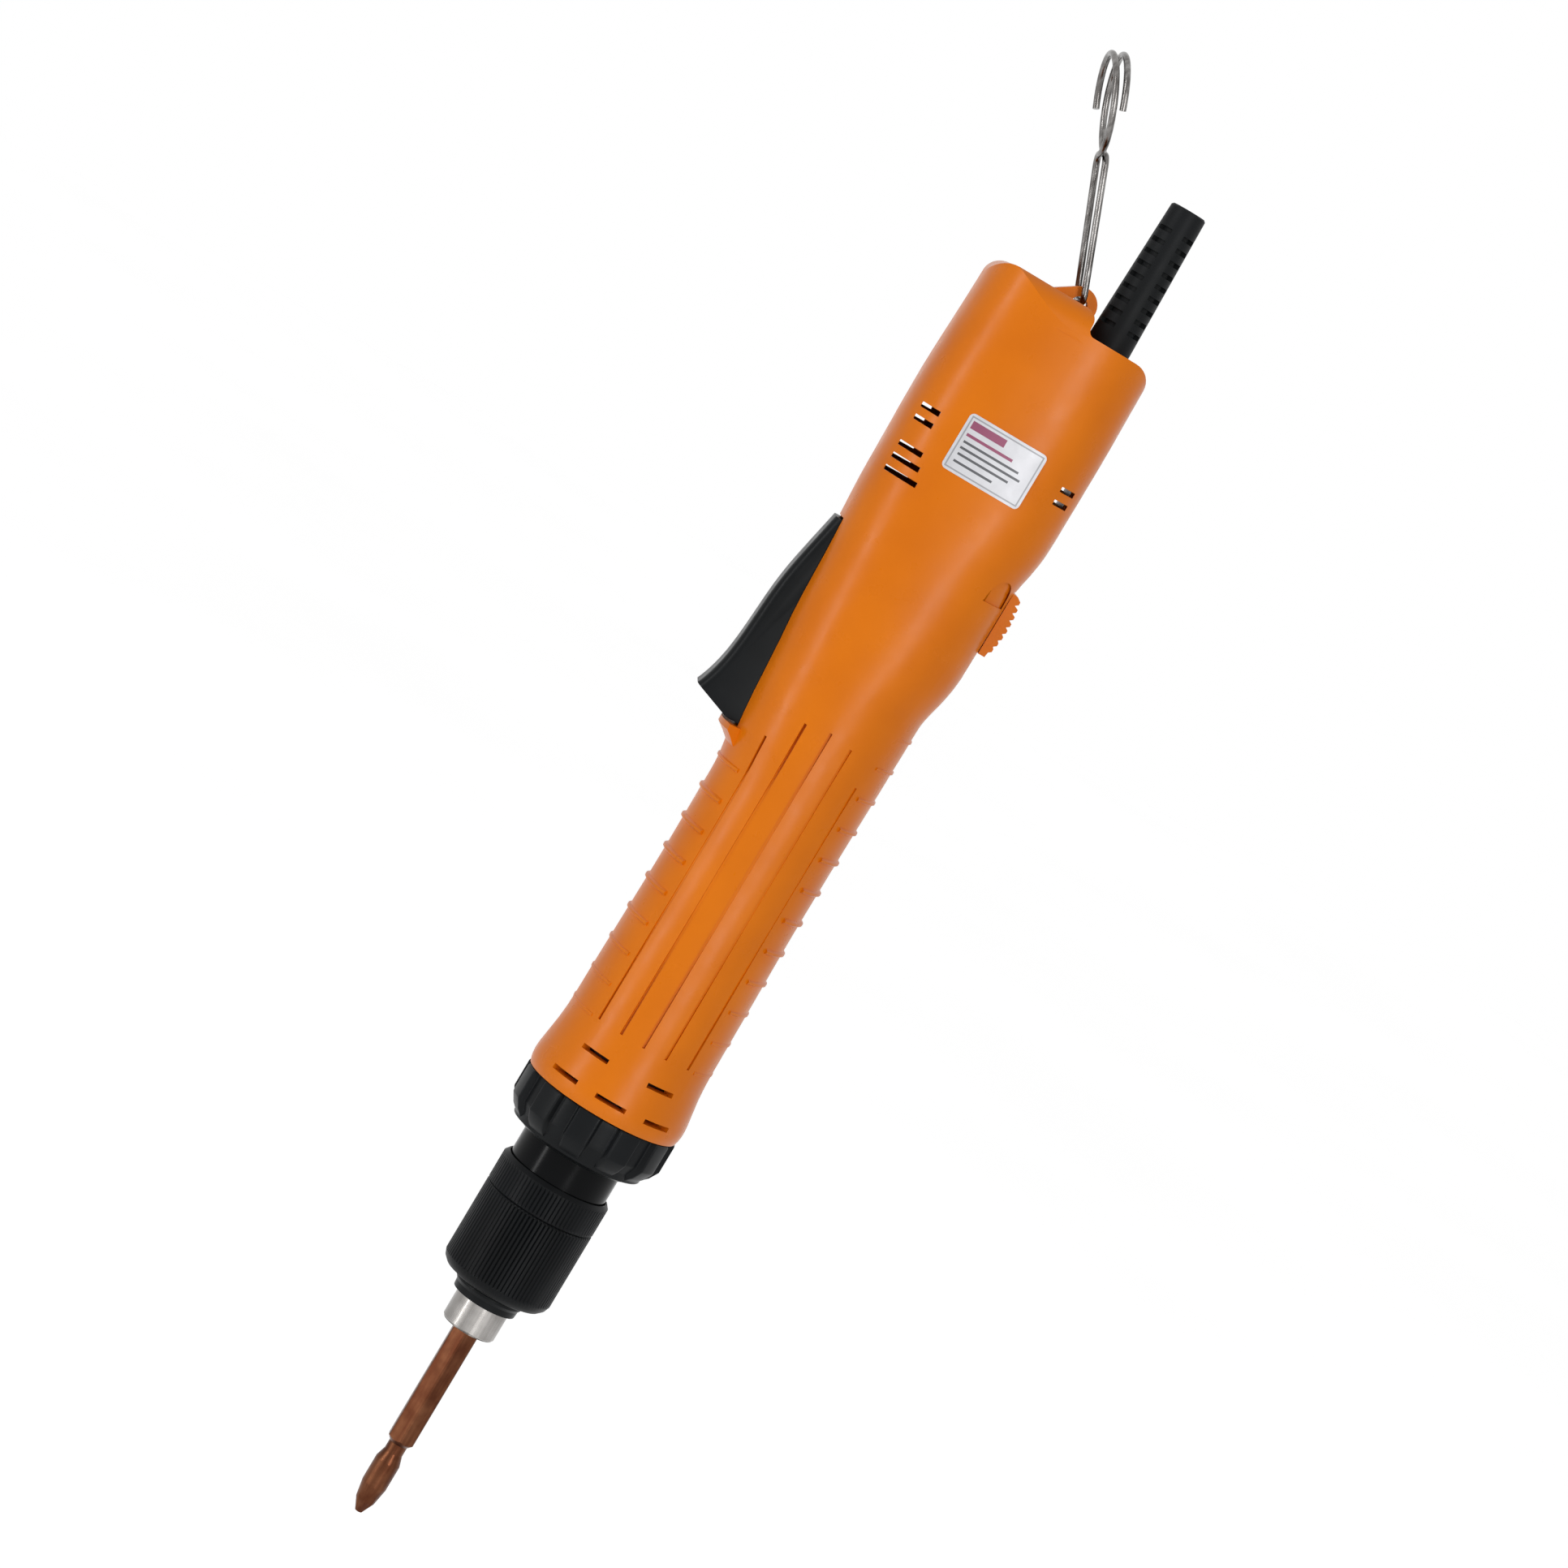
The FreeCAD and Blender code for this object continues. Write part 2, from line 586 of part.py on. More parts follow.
def make_ring_gear():
    """Ring gear of both stages, with the clutch cam on its front web."""
    pitch_radius = GEAR_MODULE * RING_TEETH / 2
    root = pitch_radius + GEAR_MODULE * DEDENDUM
    tip = pitch_radius - GEAR_MODULE * ADDENDUM
    half_at_pitch = TOOTH_SHARE * math.pi * GEAR_MODULE / 2
    step = 360.0 / RING_TEETH
    outline = []
    for index in range(RING_TEETH):
        centre = (index + 0.5) * step
        for radius, side in ((root, -1), (tip, -1), (tip, 1), (root, 1)):
            half = half_at_pitch + (radius - pitch_radius) * TOOTH_SLOPE
            point = polar(radius, centre + side * math.degrees(half / radius))
            outline.append((point.x, point.y))
    body = rod(RING_DIA, RING_Z, RING_TOP_Z)
    body = body.cut(prism(outline, RING_Z + RING_WEB, RING_TOP_Z + 1))
    body = body.cut(rod(REAR_BUSH_DIA + 2, RING_Z - 1, RING_TOP_Z))
    bump = turned([(CLUTCH_BALL_CIRCLE / 2 - 1.6, RING_Z), (CLUTCH_BALL_CIRCLE / 2 + 1.6, RING_Z),
                   (CLUTCH_BALL_CIRCLE / 2 + 1.2, RING_Z - CAM_HEIGHT),
                   (CLUTCH_BALL_CIRCLE / 2 - 1.2, RING_Z - CAM_HEIGHT)])
    gap = 2 * math.asin((CLUTCH_BALL_DIA / 2 + FREE_GAP) / (CLUTCH_BALL_CIRCLE / 2))
    wedge_angle = 360.0 / CLUTCH_BALL_COUNT - math.degrees(gap)
    sector = Part.makeCylinder(RING_DIA, 4 * CAM_HEIGHT, Vector(0, 0, RING_Z - 2 * CAM_HEIGHT),
                               Vector(0, 0, 1), wedge_angle)
    sector.rotate(Vector(0, 0, 0), Vector(0, 0, 1), 180.0 / CLUTCH_BALL_COUNT - wedge_angle / 2)
    bumps = [bump.common(piece) for piece in around(sector, CLUTCH_BALL_COUNT)]
    return fused([body] + bumps)


def make_gear_case():
    """Thin case round the ring gear, with a threaded mouth and a wall that cages the balls."""
    body = turned([(GEAR_BORE / 2, CASE_Z + CASE_FRONT_WALL), (GEAR_BORE / 2, CASE_TOP_Z),
                   (CASE_DIA / 2, CASE_TOP_Z), (CASE_DIA / 2, HOUSING_Z - SEAT_GAP),
                   (CASE_THREAD_DIA / 2, HOUSING_Z - SEAT_GAP), (CASE_THREAD_DIA / 2, CASE_Z),
                   (REAR_BUSH_DIA / 2 + RUN_FIT, CASE_Z), (REAR_BUSH_DIA / 2 + RUN_FIT, CASE_Z + CASE_FRONT_WALL)])
    hole = rod(CLUTCH_BALL_DIA + 2 * RUN_FIT, CASE_Z - 1, CASE_Z + CASE_FRONT_WALL + 1, CLUTCH_BALL_CIRCLE / 2)
    for cut in around(hole, CLUTCH_BALL_COUNT):
        body = body.cut(cut)
    return body


def carrier(low, gear_width):
    """Planet carrier disc with three pins."""
    disc_dia = GEAR_MODULE * (RING_TEETH - 2 * ADDENDUM) - 2 * FREE_GAP
    disc = rod(disc_dia, low, low + CARRIER_THICK)
    pin = rod(CARRIER_PIN_DIA, low + CARRIER_THICK - 0.5, low + CARRIER_THICK + AXIAL_PLAY + gear_width,
              PLANET_CIRCLE / 2)
    return fused([disc] + around(pin, PLANET_COUNT))


def make_output_carrier():
    """Second-stage carrier with the square hole that turns the spindle."""
    square = JOURNAL_DIA * 0.62 + 2 * RUN_FIT
    hole = block((-square / 2, square / 2), (-square / 2, square / 2),
                 (OUTPUT_CARRIER_Z - 1, OUTPUT_CARRIER_Z + CARRIER_THICK + 1))
    return carrier(OUTPUT_CARRIER_Z, OUTPUT_GEAR_WIDTH).cut(hole)


def make_input_carrier():
    """First-stage carrier with the second-stage sun gear on its front."""
    sun = spur_gear(SUN_TEETH, OUTPUT_GEAR_Z, INPUT_CARRIER_Z + 0.5, 0)
    return fused([carrier(INPUT_CARRIER_Z, INPUT_GEAR_WIDTH), sun])


def make_planets(stage_low, width):
    """Three planets in mesh at rest, each with a tooth that points outwards."""
    planet = spur_gear(PLANET_TEETH, stage_low, stage_low + width, CARRIER_PIN_DIA + 2 * RUN_FIT)
    planet.translate(Vector(PLANET_CIRCLE / 2, 0, 0))
    return around(planet, PLANET_COUNT)


# Motor

def make_motor_can():
    """Drawn can with a front plate and a boss for the front bearing."""
    outer = MOTOR_DIA / 2
    inner = outer - MOTOR_WALL
    seat = BEARING_DIA / 2 + RUN_FIT
    front = MOTOR_Z + MOTOR_PLATE
    body = turned([(SHAFT_DIA / 2 + 1.2, MOTOR_Z), (outer, MOTOR_Z), (outer, MOTOR_TOP_Z - MOTOR_PLATE - 1),
                   (inner, MOTOR_TOP_Z - MOTOR_PLATE - 1), (inner, front), (seat + 1.2, front),
                   (seat + 1.2, front + BEARING_WIDTH), (seat, front + BEARING_WIDTH), (seat, front),
                   (SHAFT_DIA / 2 + 1.2, front)])
    return body


def make_motor_end():
    """Rear end bell with the rear bearing seat."""
    outer = MOTOR_DIA / 2
    seat = BEARING_DIA / 2 + RUN_FIT
    low = MOTOR_TOP_Z - MOTOR_PLATE - 1 + SEAT_GAP
    return turned([(seat, low - BEARING_WIDTH), (seat + 1.2, low - BEARING_WIDTH), (seat + 1.2, low),
                   (outer - MOTOR_WALL - SEAT_GAP, low - 2), (outer - MOTOR_WALL - SEAT_GAP, low),
                   (outer, low), (outer, MOTOR_TOP_Z - 1), (outer - 1, MOTOR_TOP_Z), (SHAFT_DIA / 2 + 1.2, MOTOR_TOP_Z),
                   (SHAFT_DIA / 2 + 1.2, low), (seat, low)])


def motor_bearing(low):
    """Shielded ball bearing as one closed ring."""
    outer = BEARING_DIA / 2
    inner = SHAFT_DIA / 2 + RUN_FIT
    return turned([(inner, low), (inner + 1.1, low), (inner + 1.2, low + 0.25), (outer - 1.1, low + 0.25),
                   (outer - 1.0, low), (outer, low), (outer, low + BEARING_WIDTH - SEAT_GAP),
                   (inner, low + BEARING_WIDTH - SEAT_GAP)])


def stator_low():
    """Height at which the stator stack starts."""
    return MOTOR_Z + (MOTOR_LENGTH - STATOR_LENGTH) / 2


def make_stator():
    """Laminated core with inward teeth."""
    low = stator_low()
    high = low + STATOR_LENGTH
    outer = MOTOR_DIA - 2 * MOTOR_WALL - 2 * SEAT_GAP
    yoke = tube(outer, outer - 2 * STATOR_YOKE, low, high)
    bore = ROTOR_DIA / 2 + AIR_GAP
    tooth = block((bore + 0.4, outer / 2 - STATOR_YOKE / 2), (-TOOTH_WIDTH / 2, TOOTH_WIDTH / 2), (low, high))
    shoe = tube(2 * bore + 2.4, 2 * bore, low, high)
    shoe_sector = Part.makeCylinder(MOTOR_DIA, high - low, Vector(0, 0, low), Vector(0, 0, 1),
                                    300.0 / STATOR_SLOTS)
    shoe_sector.rotate(Vector(0, 0, 0), Vector(0, 0, 1), -150.0 / STATOR_SLOTS)
    tooth = tooth.fuse(shoe.common(shoe_sector))
    return fused([yoke] + around(tooth, STATOR_SLOTS))


def make_windings():
    """One coil round each stator tooth."""
    low = stator_low()
    high = low + STATOR_LENGTH
    inner = ROTOR_DIA / 2 + AIR_GAP + 1.2 + SEAT_GAP
    outer = MOTOR_DIA / 2 - MOTOR_WALL - SEAT_GAP - STATOR_YOKE - 2 * SEAT_GAP
    half = TOOTH_WIDTH / 2 + SEAT_GAP
    thick = 0.9
    loop = block((inner, outer), (-half - thick, half + thick), (low - thick - 0.6, high + thick + 0.6))
    core = block((inner - 1, outer + 1), (-half, half), (low - 0.6, high + 0.6))
    return around(loop.cut(core), STATOR_SLOTS)


def make_rotor():
    """Magnet drum of the rotor."""
    low = stator_low()
    return tube(ROTOR_DIA, SHAFT_DIA + 2 * RUN_FIT, low + 0.5, low + STATOR_LENGTH - 0.5)


def make_motor_shaft():
    """Motor shaft with the first sun gear cut on its front end."""
    sun = spur_gear(SUN_TEETH, INPUT_GEAR_Z, MOTOR_Z - 0.2, 0)
    shaft = rod(SHAFT_DIA, MOTOR_Z - 0.4, MOTOR_TOP_Z + 2)
    return fused([sun, shaft])


# Housing

def shell_section(z, lever_side, switch_side, depth, squareness):
    """Closed crowned outline at one height, flatter-sided as squareness rises above 2."""
    half_x = (lever_side + switch_side) / 2
    centre_x = (switch_side - lever_side) / 2
    half_y = depth / 2
    count = 24
    points = []
    for index in range(count):
        angle = 2 * math.pi * index / count
        cosine = math.cos(angle)
        sine = math.sin(angle)
        x = math.copysign(abs(cosine) ** (2 / squareness), cosine)
        y = math.copysign(abs(sine) ** (2 / squareness), sine)
        points.append(Vector(centre_x + half_x * x, half_y * y, z))
    curve = Part.BSplineCurve()
    curve.interpolate(points, PeriodicFlag=True)
    return Part.Wire([curve.toShape()])


def front_half_dia(extra=0.0):
    """Half of the grip's front diameter, plus an allowance."""
    return FRONT_DIA / 2 + extra


def shell_levels():
    """Height, lever-side half width, switch-side half width, depth and squareness up the body."""
    grip = GRIP_DIA / 2
    head_z = SADDLE_Z + SADDLE_LENGTH
    cheek = LEVER_ROOT_Z
    return [
        (HOUSING_Z, front_half_dia(), front_half_dia(), FRONT_DIA, 2.0),
        (HOUSING_Z + 4.3, front_half_dia(0.4), front_half_dia(0.4), FRONT_DIA + 0.8, 2.0),
        (HOUSING_Z + 10.0, front_half_dia(-0.3), front_half_dia(-0.3), FRONT_DIA - 0.6, 2.0),
        (HOUSING_Z + 16.0, grip + 0.4, grip + 0.4, GRIP_DIA + 0.8, 2.0),
        (HOUSING_Z + 31.0, grip + 0.2, grip + 0.2, GRIP_DIA + 0.4, 2.0),
        (HOUSING_Z + 60.0, grip - 0.2, grip - 0.2, GRIP_DIA - 0.4, 2.0),
        (cheek - 12.0, grip - 0.1, grip - 0.1, GRIP_DIA - 0.2, 2.0),
        (cheek + 1.0, grip + 1.6, grip + 0.05, GRIP_DIA + 0.2, 2.05),
        (cheek + 10.0, grip + 2.3, grip + 0.1, GRIP_DIA + 0.8, 2.1),
        (SADDLE_Z - 11.0, HEAD_LEVER_SIDE - 2.5, grip + 0.25, GRIP_DIA + 1.6, 2.15),
        (SADDLE_Z, HEAD_LEVER_SIDE - 1.7, SADDLE_X - 0.35, GRIP_DIA + 2.2, 2.25),
        (SADDLE_Z + 10.0, HEAD_LEVER_SIDE - 1.5, SADDLE_X, GRIP_DIA + 2.6, 2.35),
        (head_z - 3.0, HEAD_LEVER_SIDE - 0.9, SADDLE_X + 0.1, HEAD_DEPTH - 0.3, 2.45),
        (head_z + 1.5, HEAD_LEVER_SIDE - 0.6, SADDLE_X + 0.4, HEAD_DEPTH - 0.2, 2.5),
        (head_z + 7.0, HEAD_LEVER_SIDE - 0.4, HEAD_SWITCH_SIDE - 0.3, HEAD_DEPTH - 0.1, 2.55),
        (head_z + 13.0, HEAD_LEVER_SIDE - 0.3, HEAD_SWITCH_SIDE, HEAD_DEPTH, 2.6),
        (head_z + 32.0, HEAD_LEVER_SIDE, HEAD_SWITCH_SIDE, HEAD_DEPTH, 2.7),
        (head_z + 52.0, HEAD_LEVER_SIDE - 0.5, HEAD_SWITCH_SIDE - 0.4, HEAD_DEPTH - 0.2, 2.7),
        (HOUSING_TOP_Z + 1.0, HEAD_LEVER_SIDE - 0.8, HEAD_SWITCH_SIDE - 0.7, HEAD_DEPTH - 0.4, 2.7),
    ]


def eased_slope(before, after):
    """Slope at a listed level, between the slopes on both sides, so that the curve can't overshoot."""
    if before * after <= 0:
        return 0.0
    return 2 * before * after / (before + after)


def eased_level(levels, z):
    """Shell measures at one height, eased between the two listed levels round it."""
    last = len(levels) - 2
    index = max(i for i in range(last + 1) if levels[i][0] <= z)
    low, high = levels[index], levels[index + 1]
    height = high[0] - low[0]
    share = (z - low[0]) / height
    values = []
    for item in range(1, len(low)):
        slopes = []
        for here in (index - 1, index, index + 1):
            here = min(max(here, 0), last)
            slopes.append((levels[here + 1][item] - levels[here][item]) / (levels[here + 1][0] - levels[here][0]))
        start = eased_slope(slopes[0], slopes[1]) * height
        end = eased_slope(slopes[1], slopes[2]) * height
        rise = high[item] - low[item]
        values.append(low[item] + start * share + (3 * rise - 2 * start - end) * share ** 2
                      + (start + end - 2 * rise) * share ** 3)
    return values


def make_shell():
    """Outer body before it is hollowed and split."""
    levels = shell_levels()
    low = levels[0][0]
    step = (levels[-1][0] - low) / SHELL_SECTIONS
    heights = [low + index * step for index in range(SHELL_SECTIONS)] + [levels[-1][0]]
    sections = [shell_section(z, *eased_level(levels, z)) for z in heights]
    return Part.makeLoft(sections, True, False)


def head_outline():
    """Front outline of the head with its stepped top, as a face across Y."""
    left = -HEAD_LEVER_SIDE - 4.0
    right = HEAD_SWITCH_SIDE + 4.0
    left_edge = -HEAD_LEVER_SIDE + 0.6
    right_edge = HEAD_SWITCH_SIDE - 0.6
    high = HOUSING_TOP_Z
    low = LOW_TOP_Z
    radius = TOP_RADIUS
    bend = STEP_DOWN / 2
    y = -HEAD_DEPTH
    corner = math.sqrt(0.5)
    bottom = HOUSING_Z - 5.0
    points = {
        "a": Vector(left, y, bottom), "b": Vector(left, y, high - radius - 3.0),
        "c": Vector(left_edge, y, high - radius), "d": Vector(left_edge + radius, y, high),
        "e": Vector(STEP_X - bend, y, high), "f": Vector(STEP_X, y, high - bend),
        "g": Vector(STEP_X, y, low + bend * 0.6), "h": Vector(STEP_X + bend * 0.6, y, low),
        "i": Vector(right_edge - radius, y, low), "j": Vector(right_edge, y, low - radius),
        "k": Vector(right, y, low - radius - 3.0), "l": Vector(right, y, bottom),
    }

    def corner_arc(start, end, centre, swing):
        middle = centre + swing
        return Part.Arc(points[start], middle, points[end]).toShape()

    edges = [
        Part.LineSegment(points["a"], points["b"]).toShape(),
        Part.LineSegment(points["b"], points["c"]).toShape(),
        corner_arc("c", "d", Vector(left_edge + radius, y, high - radius),
                   Vector(-radius * corner, 0, radius * corner)),
        Part.LineSegment(points["d"], points["e"]).toShape(),
        corner_arc("e", "f", Vector(STEP_X - bend, y, high - bend), Vector(bend * corner, 0, bend * corner)),
        Part.LineSegment(points["f"], points["g"]).toShape(),
        corner_arc("g", "h", Vector(STEP_X + bend * 0.6, y, low + bend * 0.6),
                   Vector(-bend * 0.6 * corner, 0, -bend * 0.6 * corner)),
        Part.LineSegment(points["h"], points["i"]).toShape(),
        corner_arc("i", "j", Vector(right_edge - radius, y, low - radius),
                   Vector(radius * corner, 0, radius * corner)),
        Part.LineSegment(points["j"], points["k"]).toShape(),
        Part.LineSegment(points["k"], points["l"]).toShape(),
        Part.LineSegment(points["l"], points["a"]).toShape(),
    ]
    face = Part.Face(Part.Wire(edges))
    return face.extrude(Vector(0, 2 * HEAD_DEPTH, 0))


def side_outline():
    """Side outline that rounds the front and back edges of the top."""
    radius = TOP_RADIUS
    half = HEAD_DEPTH / 2 - 0.2
    top = HOUSING_TOP_Z + 0.5
    wide = HEAD_DEPTH
    bottom = HOUSING_Z - 5.0
    corner = math.sqrt(0.5)
    x = -2 * HEAD_LEVER_SIDE
    low = HOUSING_TOP_Z - radius - STEP_DOWN * 0.35

    def spot(y, z):
        return Vector(x, y, z)

    edges = []
    left = [spot(-wide, bottom), spot(-wide, low - 4.0), spot(-half, low)]
    right = [spot(half, low), spot(wide, low - 4.0), spot(wide, bottom)]
    for run in (left, right):
        for start, end in zip(run, run[1:]):
            edges.append(Part.LineSegment(start, end).toShape())
    rise = top - low
    arc_left = Part.Arc(left[-1], spot(-half + radius * (1 - corner), low + rise * corner), spot(-half + radius, top))
    arc_right = Part.Arc(spot(half - radius, top), spot(half - radius * (1 - corner), low + rise * corner), right[0])
    edges.insert(2, arc_left.toShape())
    edges.insert(3, Part.LineSegment(spot(-half + radius, top), spot(half - radius, top)).toShape())
    edges.insert(4, arc_right.toShape())
    edges.append(Part.LineSegment(right[-1], left[0]).toShape())
    face = Part.Face(Part.Wire(edges))
    return face.extrude(Vector(4 * HEAD_LEVER_SIDE, 0, 0))


def make_cavity():
    """Inner space: round bore for gears and motor, then a wide chamber in the head."""
    chamber_z = SADDLE_Z + SADDLE_LENGTH - 5.0
    bore = rod(BORE_DIA, HOUSING_Z - 1, chamber_z + 1)
    right = HEAD_SWITCH_SIDE - CHAMBER_WALL
    left = -(HEAD_LEVER_SIDE - CHAMBER_WALL)
    half_y = HEAD_DEPTH / 2 - CHAMBER_WALL
    chamber = block((left, right), (-half_y, half_y), (chamber_z, LOW_TOP_Z - CAVITY_TOP_GAP))
    upright = [edge for edge in chamber.Edges if abs(edge.Vertexes[0].Z - edge.Vertexes[1].Z) > 1]
    chamber = chamber.makeFillet(CHAMBER_CORNER, upright)
    return [bore, chamber]


def finger_ribs():
    """Short raised ribs round the two sides of the grip."""
    ribs = []
    half = RIB_WIDTH / 2
    base = GRIP_DIA / 2 - 1.0
    crest = GRIP_DIA / 2 + RIB_HEIGHT
    for side, count in ((180.0, RIBS_LEVER_SIDE), (0.0, RIBS_SWITCH_SIDE)):
        for index in range(count):
            z = RIB_FIRST_Z + index * RIB_PITCH
            points = [Vector(base, 0, z - half - 0.5), Vector(crest, 0, z - half * 0.35),
                      Vector(crest, 0, z + half * 0.35), Vector(base, 0, z + half + 0.5)]
            rib = polygon_face(points).revolve(Vector(0, 0, 0), Vector(0, 0, 1), 2 * RIB_HALF_ANGLE)
            rib.rotate(Vector(0, 0, 0), Vector(0, 0, 1), side - RIB_HALF_ANGLE)
            ribs.append(rib)
    return ribs


def grip_grooves():
    """Long shallow lines on the front and back of the grip."""
    cuts = []
    for angle, top in GROOVES:
        for side in ((1, -1) if angle else (1,)):
            for face in (-90.0, 90.0):
                groove = block((GRIP_DIA / 2 - GROOVE_DEPTH, GRIP_DIA), (-GROOVE_WIDTH / 2, GROOVE_WIDTH / 2),
                               (GROOVE_BOTTOM_Z, top))
                groove.rotate(Vector(0, 0, 0), Vector(0, 0, 1), face + side * angle)
                cuts.append(groove)
    return cuts


def vents():
    """Cooling slots at the front of the grip and in the head."""
    cuts = []
    for z, angle in FRONT_VENTS:
        slot = Part.makeCylinder(FRONT_DIA, FRONT_VENT_HEIGHT, Vector(0, 0, z - FRONT_VENT_HEIGHT / 2),
                                 Vector(0, 0, 1), FRONT_VENT_SPAN)
        slot.rotate(Vector(0, 0, 0), Vector(0, 0, 1), -FRONT_VENT_SPAN / 2)
        for side in ((1, -1) if angle else (1,)):
            for face in (-90.0, 90.0):
                copy = slot.copy()
                copy.rotate(Vector(0, 0, 0), Vector(0, 0, 1), face + side * angle)
                cuts.append(copy)
    for z, left, right in HEAD_VENTS:
        z_range = (z - HEAD_VENT_HEIGHT / 2, z + HEAD_VENT_HEIGHT / 2)
        cuts.append(block((left, right), (-HEAD_DEPTH, -HEAD_VENT_START_Y), z_range))
        cuts.append(block((left, right), (HEAD_VENT_START_Y, HEAD_DEPTH), z_range))
    return cuts


def make_ear():
    """Lug on the top for the hook, with a flank towards the lever side."""
    radius = EAR_DIA / 2
    root = LOW_TOP_Z - 2.0
    y = -EAR_THICK / 2
    crown = polar(radius, EAR_FLANK_ANGLE)
    flank_x = EAR_X - EAR_FLANK
    right_foot = Vector(EAR_X + radius, y, root)
    right_top = Vector(EAR_X + radius, y, EAR_HOLE_Z)
    top = Vector(EAR_X, y, EAR_HOLE_Z + radius)
    left_top = Vector(EAR_X + crown.x, y, EAR_HOLE_Z + crown.y)
    flank = Vector(flank_x, y, HOUSING_TOP_Z - 0.3)
    left_foot = Vector(flank_x, y, root)
    edges = [Part.LineSegment(right_foot, right_top).toShape(), Part.Arc(right_top, top, left_top).toShape()]
    for start, end in ((left_top, flank), (flank, left_foot), (left_foot, right_foot)):
        edges.append(Part.LineSegment(start, end).toShape())
    return Part.Face(Part.Wire(edges)).extrude(Vector(0, EAR_THICK, 0))


def ear_pockets():
    """Hollows in front of and behind the lug that let the wire swing."""
    pockets = []
    reach = HOOK_LEG_SPAN / 2 + HOOK_WIRE
    for side in (-1, 1):
        near = side * EAR_THICK / 2
        far = side * (reach + 1.0)
        pocket = rod_along(Vector(0, 1, 0), 2 * EAR_POCKET_DEPTH,
                           Vector(EAR_X, min(near, far), HOOK_PIVOT_Z), abs(far - near))
        pockets.append(pocket)
    return pockets


def lever_slot():
    """Opening in the lever side, from the root of the lever to its pivot."""
    half = LEVER_WIDTH / 2 + FREE_GAP
    return block((-2 * HEAD_LEVER_SIDE, -BORE_DIA / 4), (-half, half), (LEVER_ROOT_Z - 0.6, LEVER_TOP_Z + 0.6))


def knob_slot():
    """Slot in the switch side for the knob's stem, and the flat it slides on."""
    half = KNOB_STEM / 2 + FREE_GAP
    middle = KNOB_Z + KNOB_LENGTH / 2
    stem_slot = block((BORE_DIA / 4, 2 * HEAD_SWITCH_SIDE), (-half, half),
                      (middle - KNOB_STEM / 2 - KNOB_TRAVEL - FREE_GAP, middle + KNOB_STEM / 2 + FREE_GAP))
    reach = KNOB_WIDTH / 2 + 1.5
    flat = block((SADDLE_X - KNOB_RECESS, 2 * HEAD_SWITCH_SIDE), (-reach, reach),
                 (KNOB_Z - KNOB_TRAVEL - 1.5, KNOB_Z + KNOB_LENGTH + 0.6))
    return [stem_slot, flat]


def boot_seat():
    """Hole in the low shoulder, with a groove for the boot's flange."""
    hole = rod(BOOT_BASE_DIA + 2 * SEAT_GAP, LOW_TOP_Z - 12.0, LOW_TOP_Z + 8.0, BOOT_X)
    groove = rod(BOOT_FLANGE_DIA + 2 * SEAT_GAP, LOW_TOP_Z - CAVITY_TOP_GAP - BOOT_FLANGE - SEAT_GAP,
                 LOW_TOP_Z - CAVITY_TOP_GAP + SEAT_GAP, BOOT_X)
    return [hole, groove]


def wall_post(x, z, start, reach, back):
    """Boss that runs from a distance off the parting plane out to one half's wall."""
    side = 1 if back else -1
    return rod_along(Vector(0, side, 0), POST_DIA, Vector(x, side * start, z), reach - start)


def inner_posts(back):
    """Screw bosses, the post for the lever spring and the boss that steadies the start switch."""
    head_reach = HEAD_DEPTH / 2 - WALL / 2
    grip_reach = BORE_DIA / 2
    posts = [wall_post(x, z, SEAT_GAP / 2, SCREW_POST_REACH, back) for x, z in SCREW_POSTS]
    posts.append(wall_post(SPRING_POST_X, LEVER_SPRING_Z, SEAT_GAP / 2, grip_reach, back))
    posts.append(wall_post(SWITCH_X, SWITCH_Z, SWITCH_SIZE[1] / 2 + SEAT_GAP, grip_reach, back))
    for z in (BOARD_Z + 25.0, BOARD_Z + BOARD_LENGTH - 6.0):
        if back:
            posts.append(wall_post(0.0, z, BOARD_Y + BOARD_THICK + SEAT_GAP, head_reach, back))
    return posts


def lever_lip():
    """Lip of the housing under the foot of the lever."""
    base = GRIP_DIA / 2 - 1.0
    foot = LEVER_ROOT_Z - 7.5
    top = LEVER_ROOT_Z - 0.6
    lip = LEVER_LIP_X
    points = [Vector(base, 0, foot), Vector(lip - 3.6, 0, foot + 2.6), Vector(lip - 1.5, 0, foot + 4.4),
              Vector(lip, 0, foot + 5.5), Vector(lip, 0, top), Vector(base, 0, top)]
    piece = polygon_face(points).revolve(Vector(0, 0, 0), Vector(0, 0, 1), 2 * LEVER_LIP_HALF_ANGLE)
    piece.rotate(Vector(0, 0, 0), Vector(0, 0, 1), 180.0 - LEVER_LIP_HALF_ANGLE)
    return piece


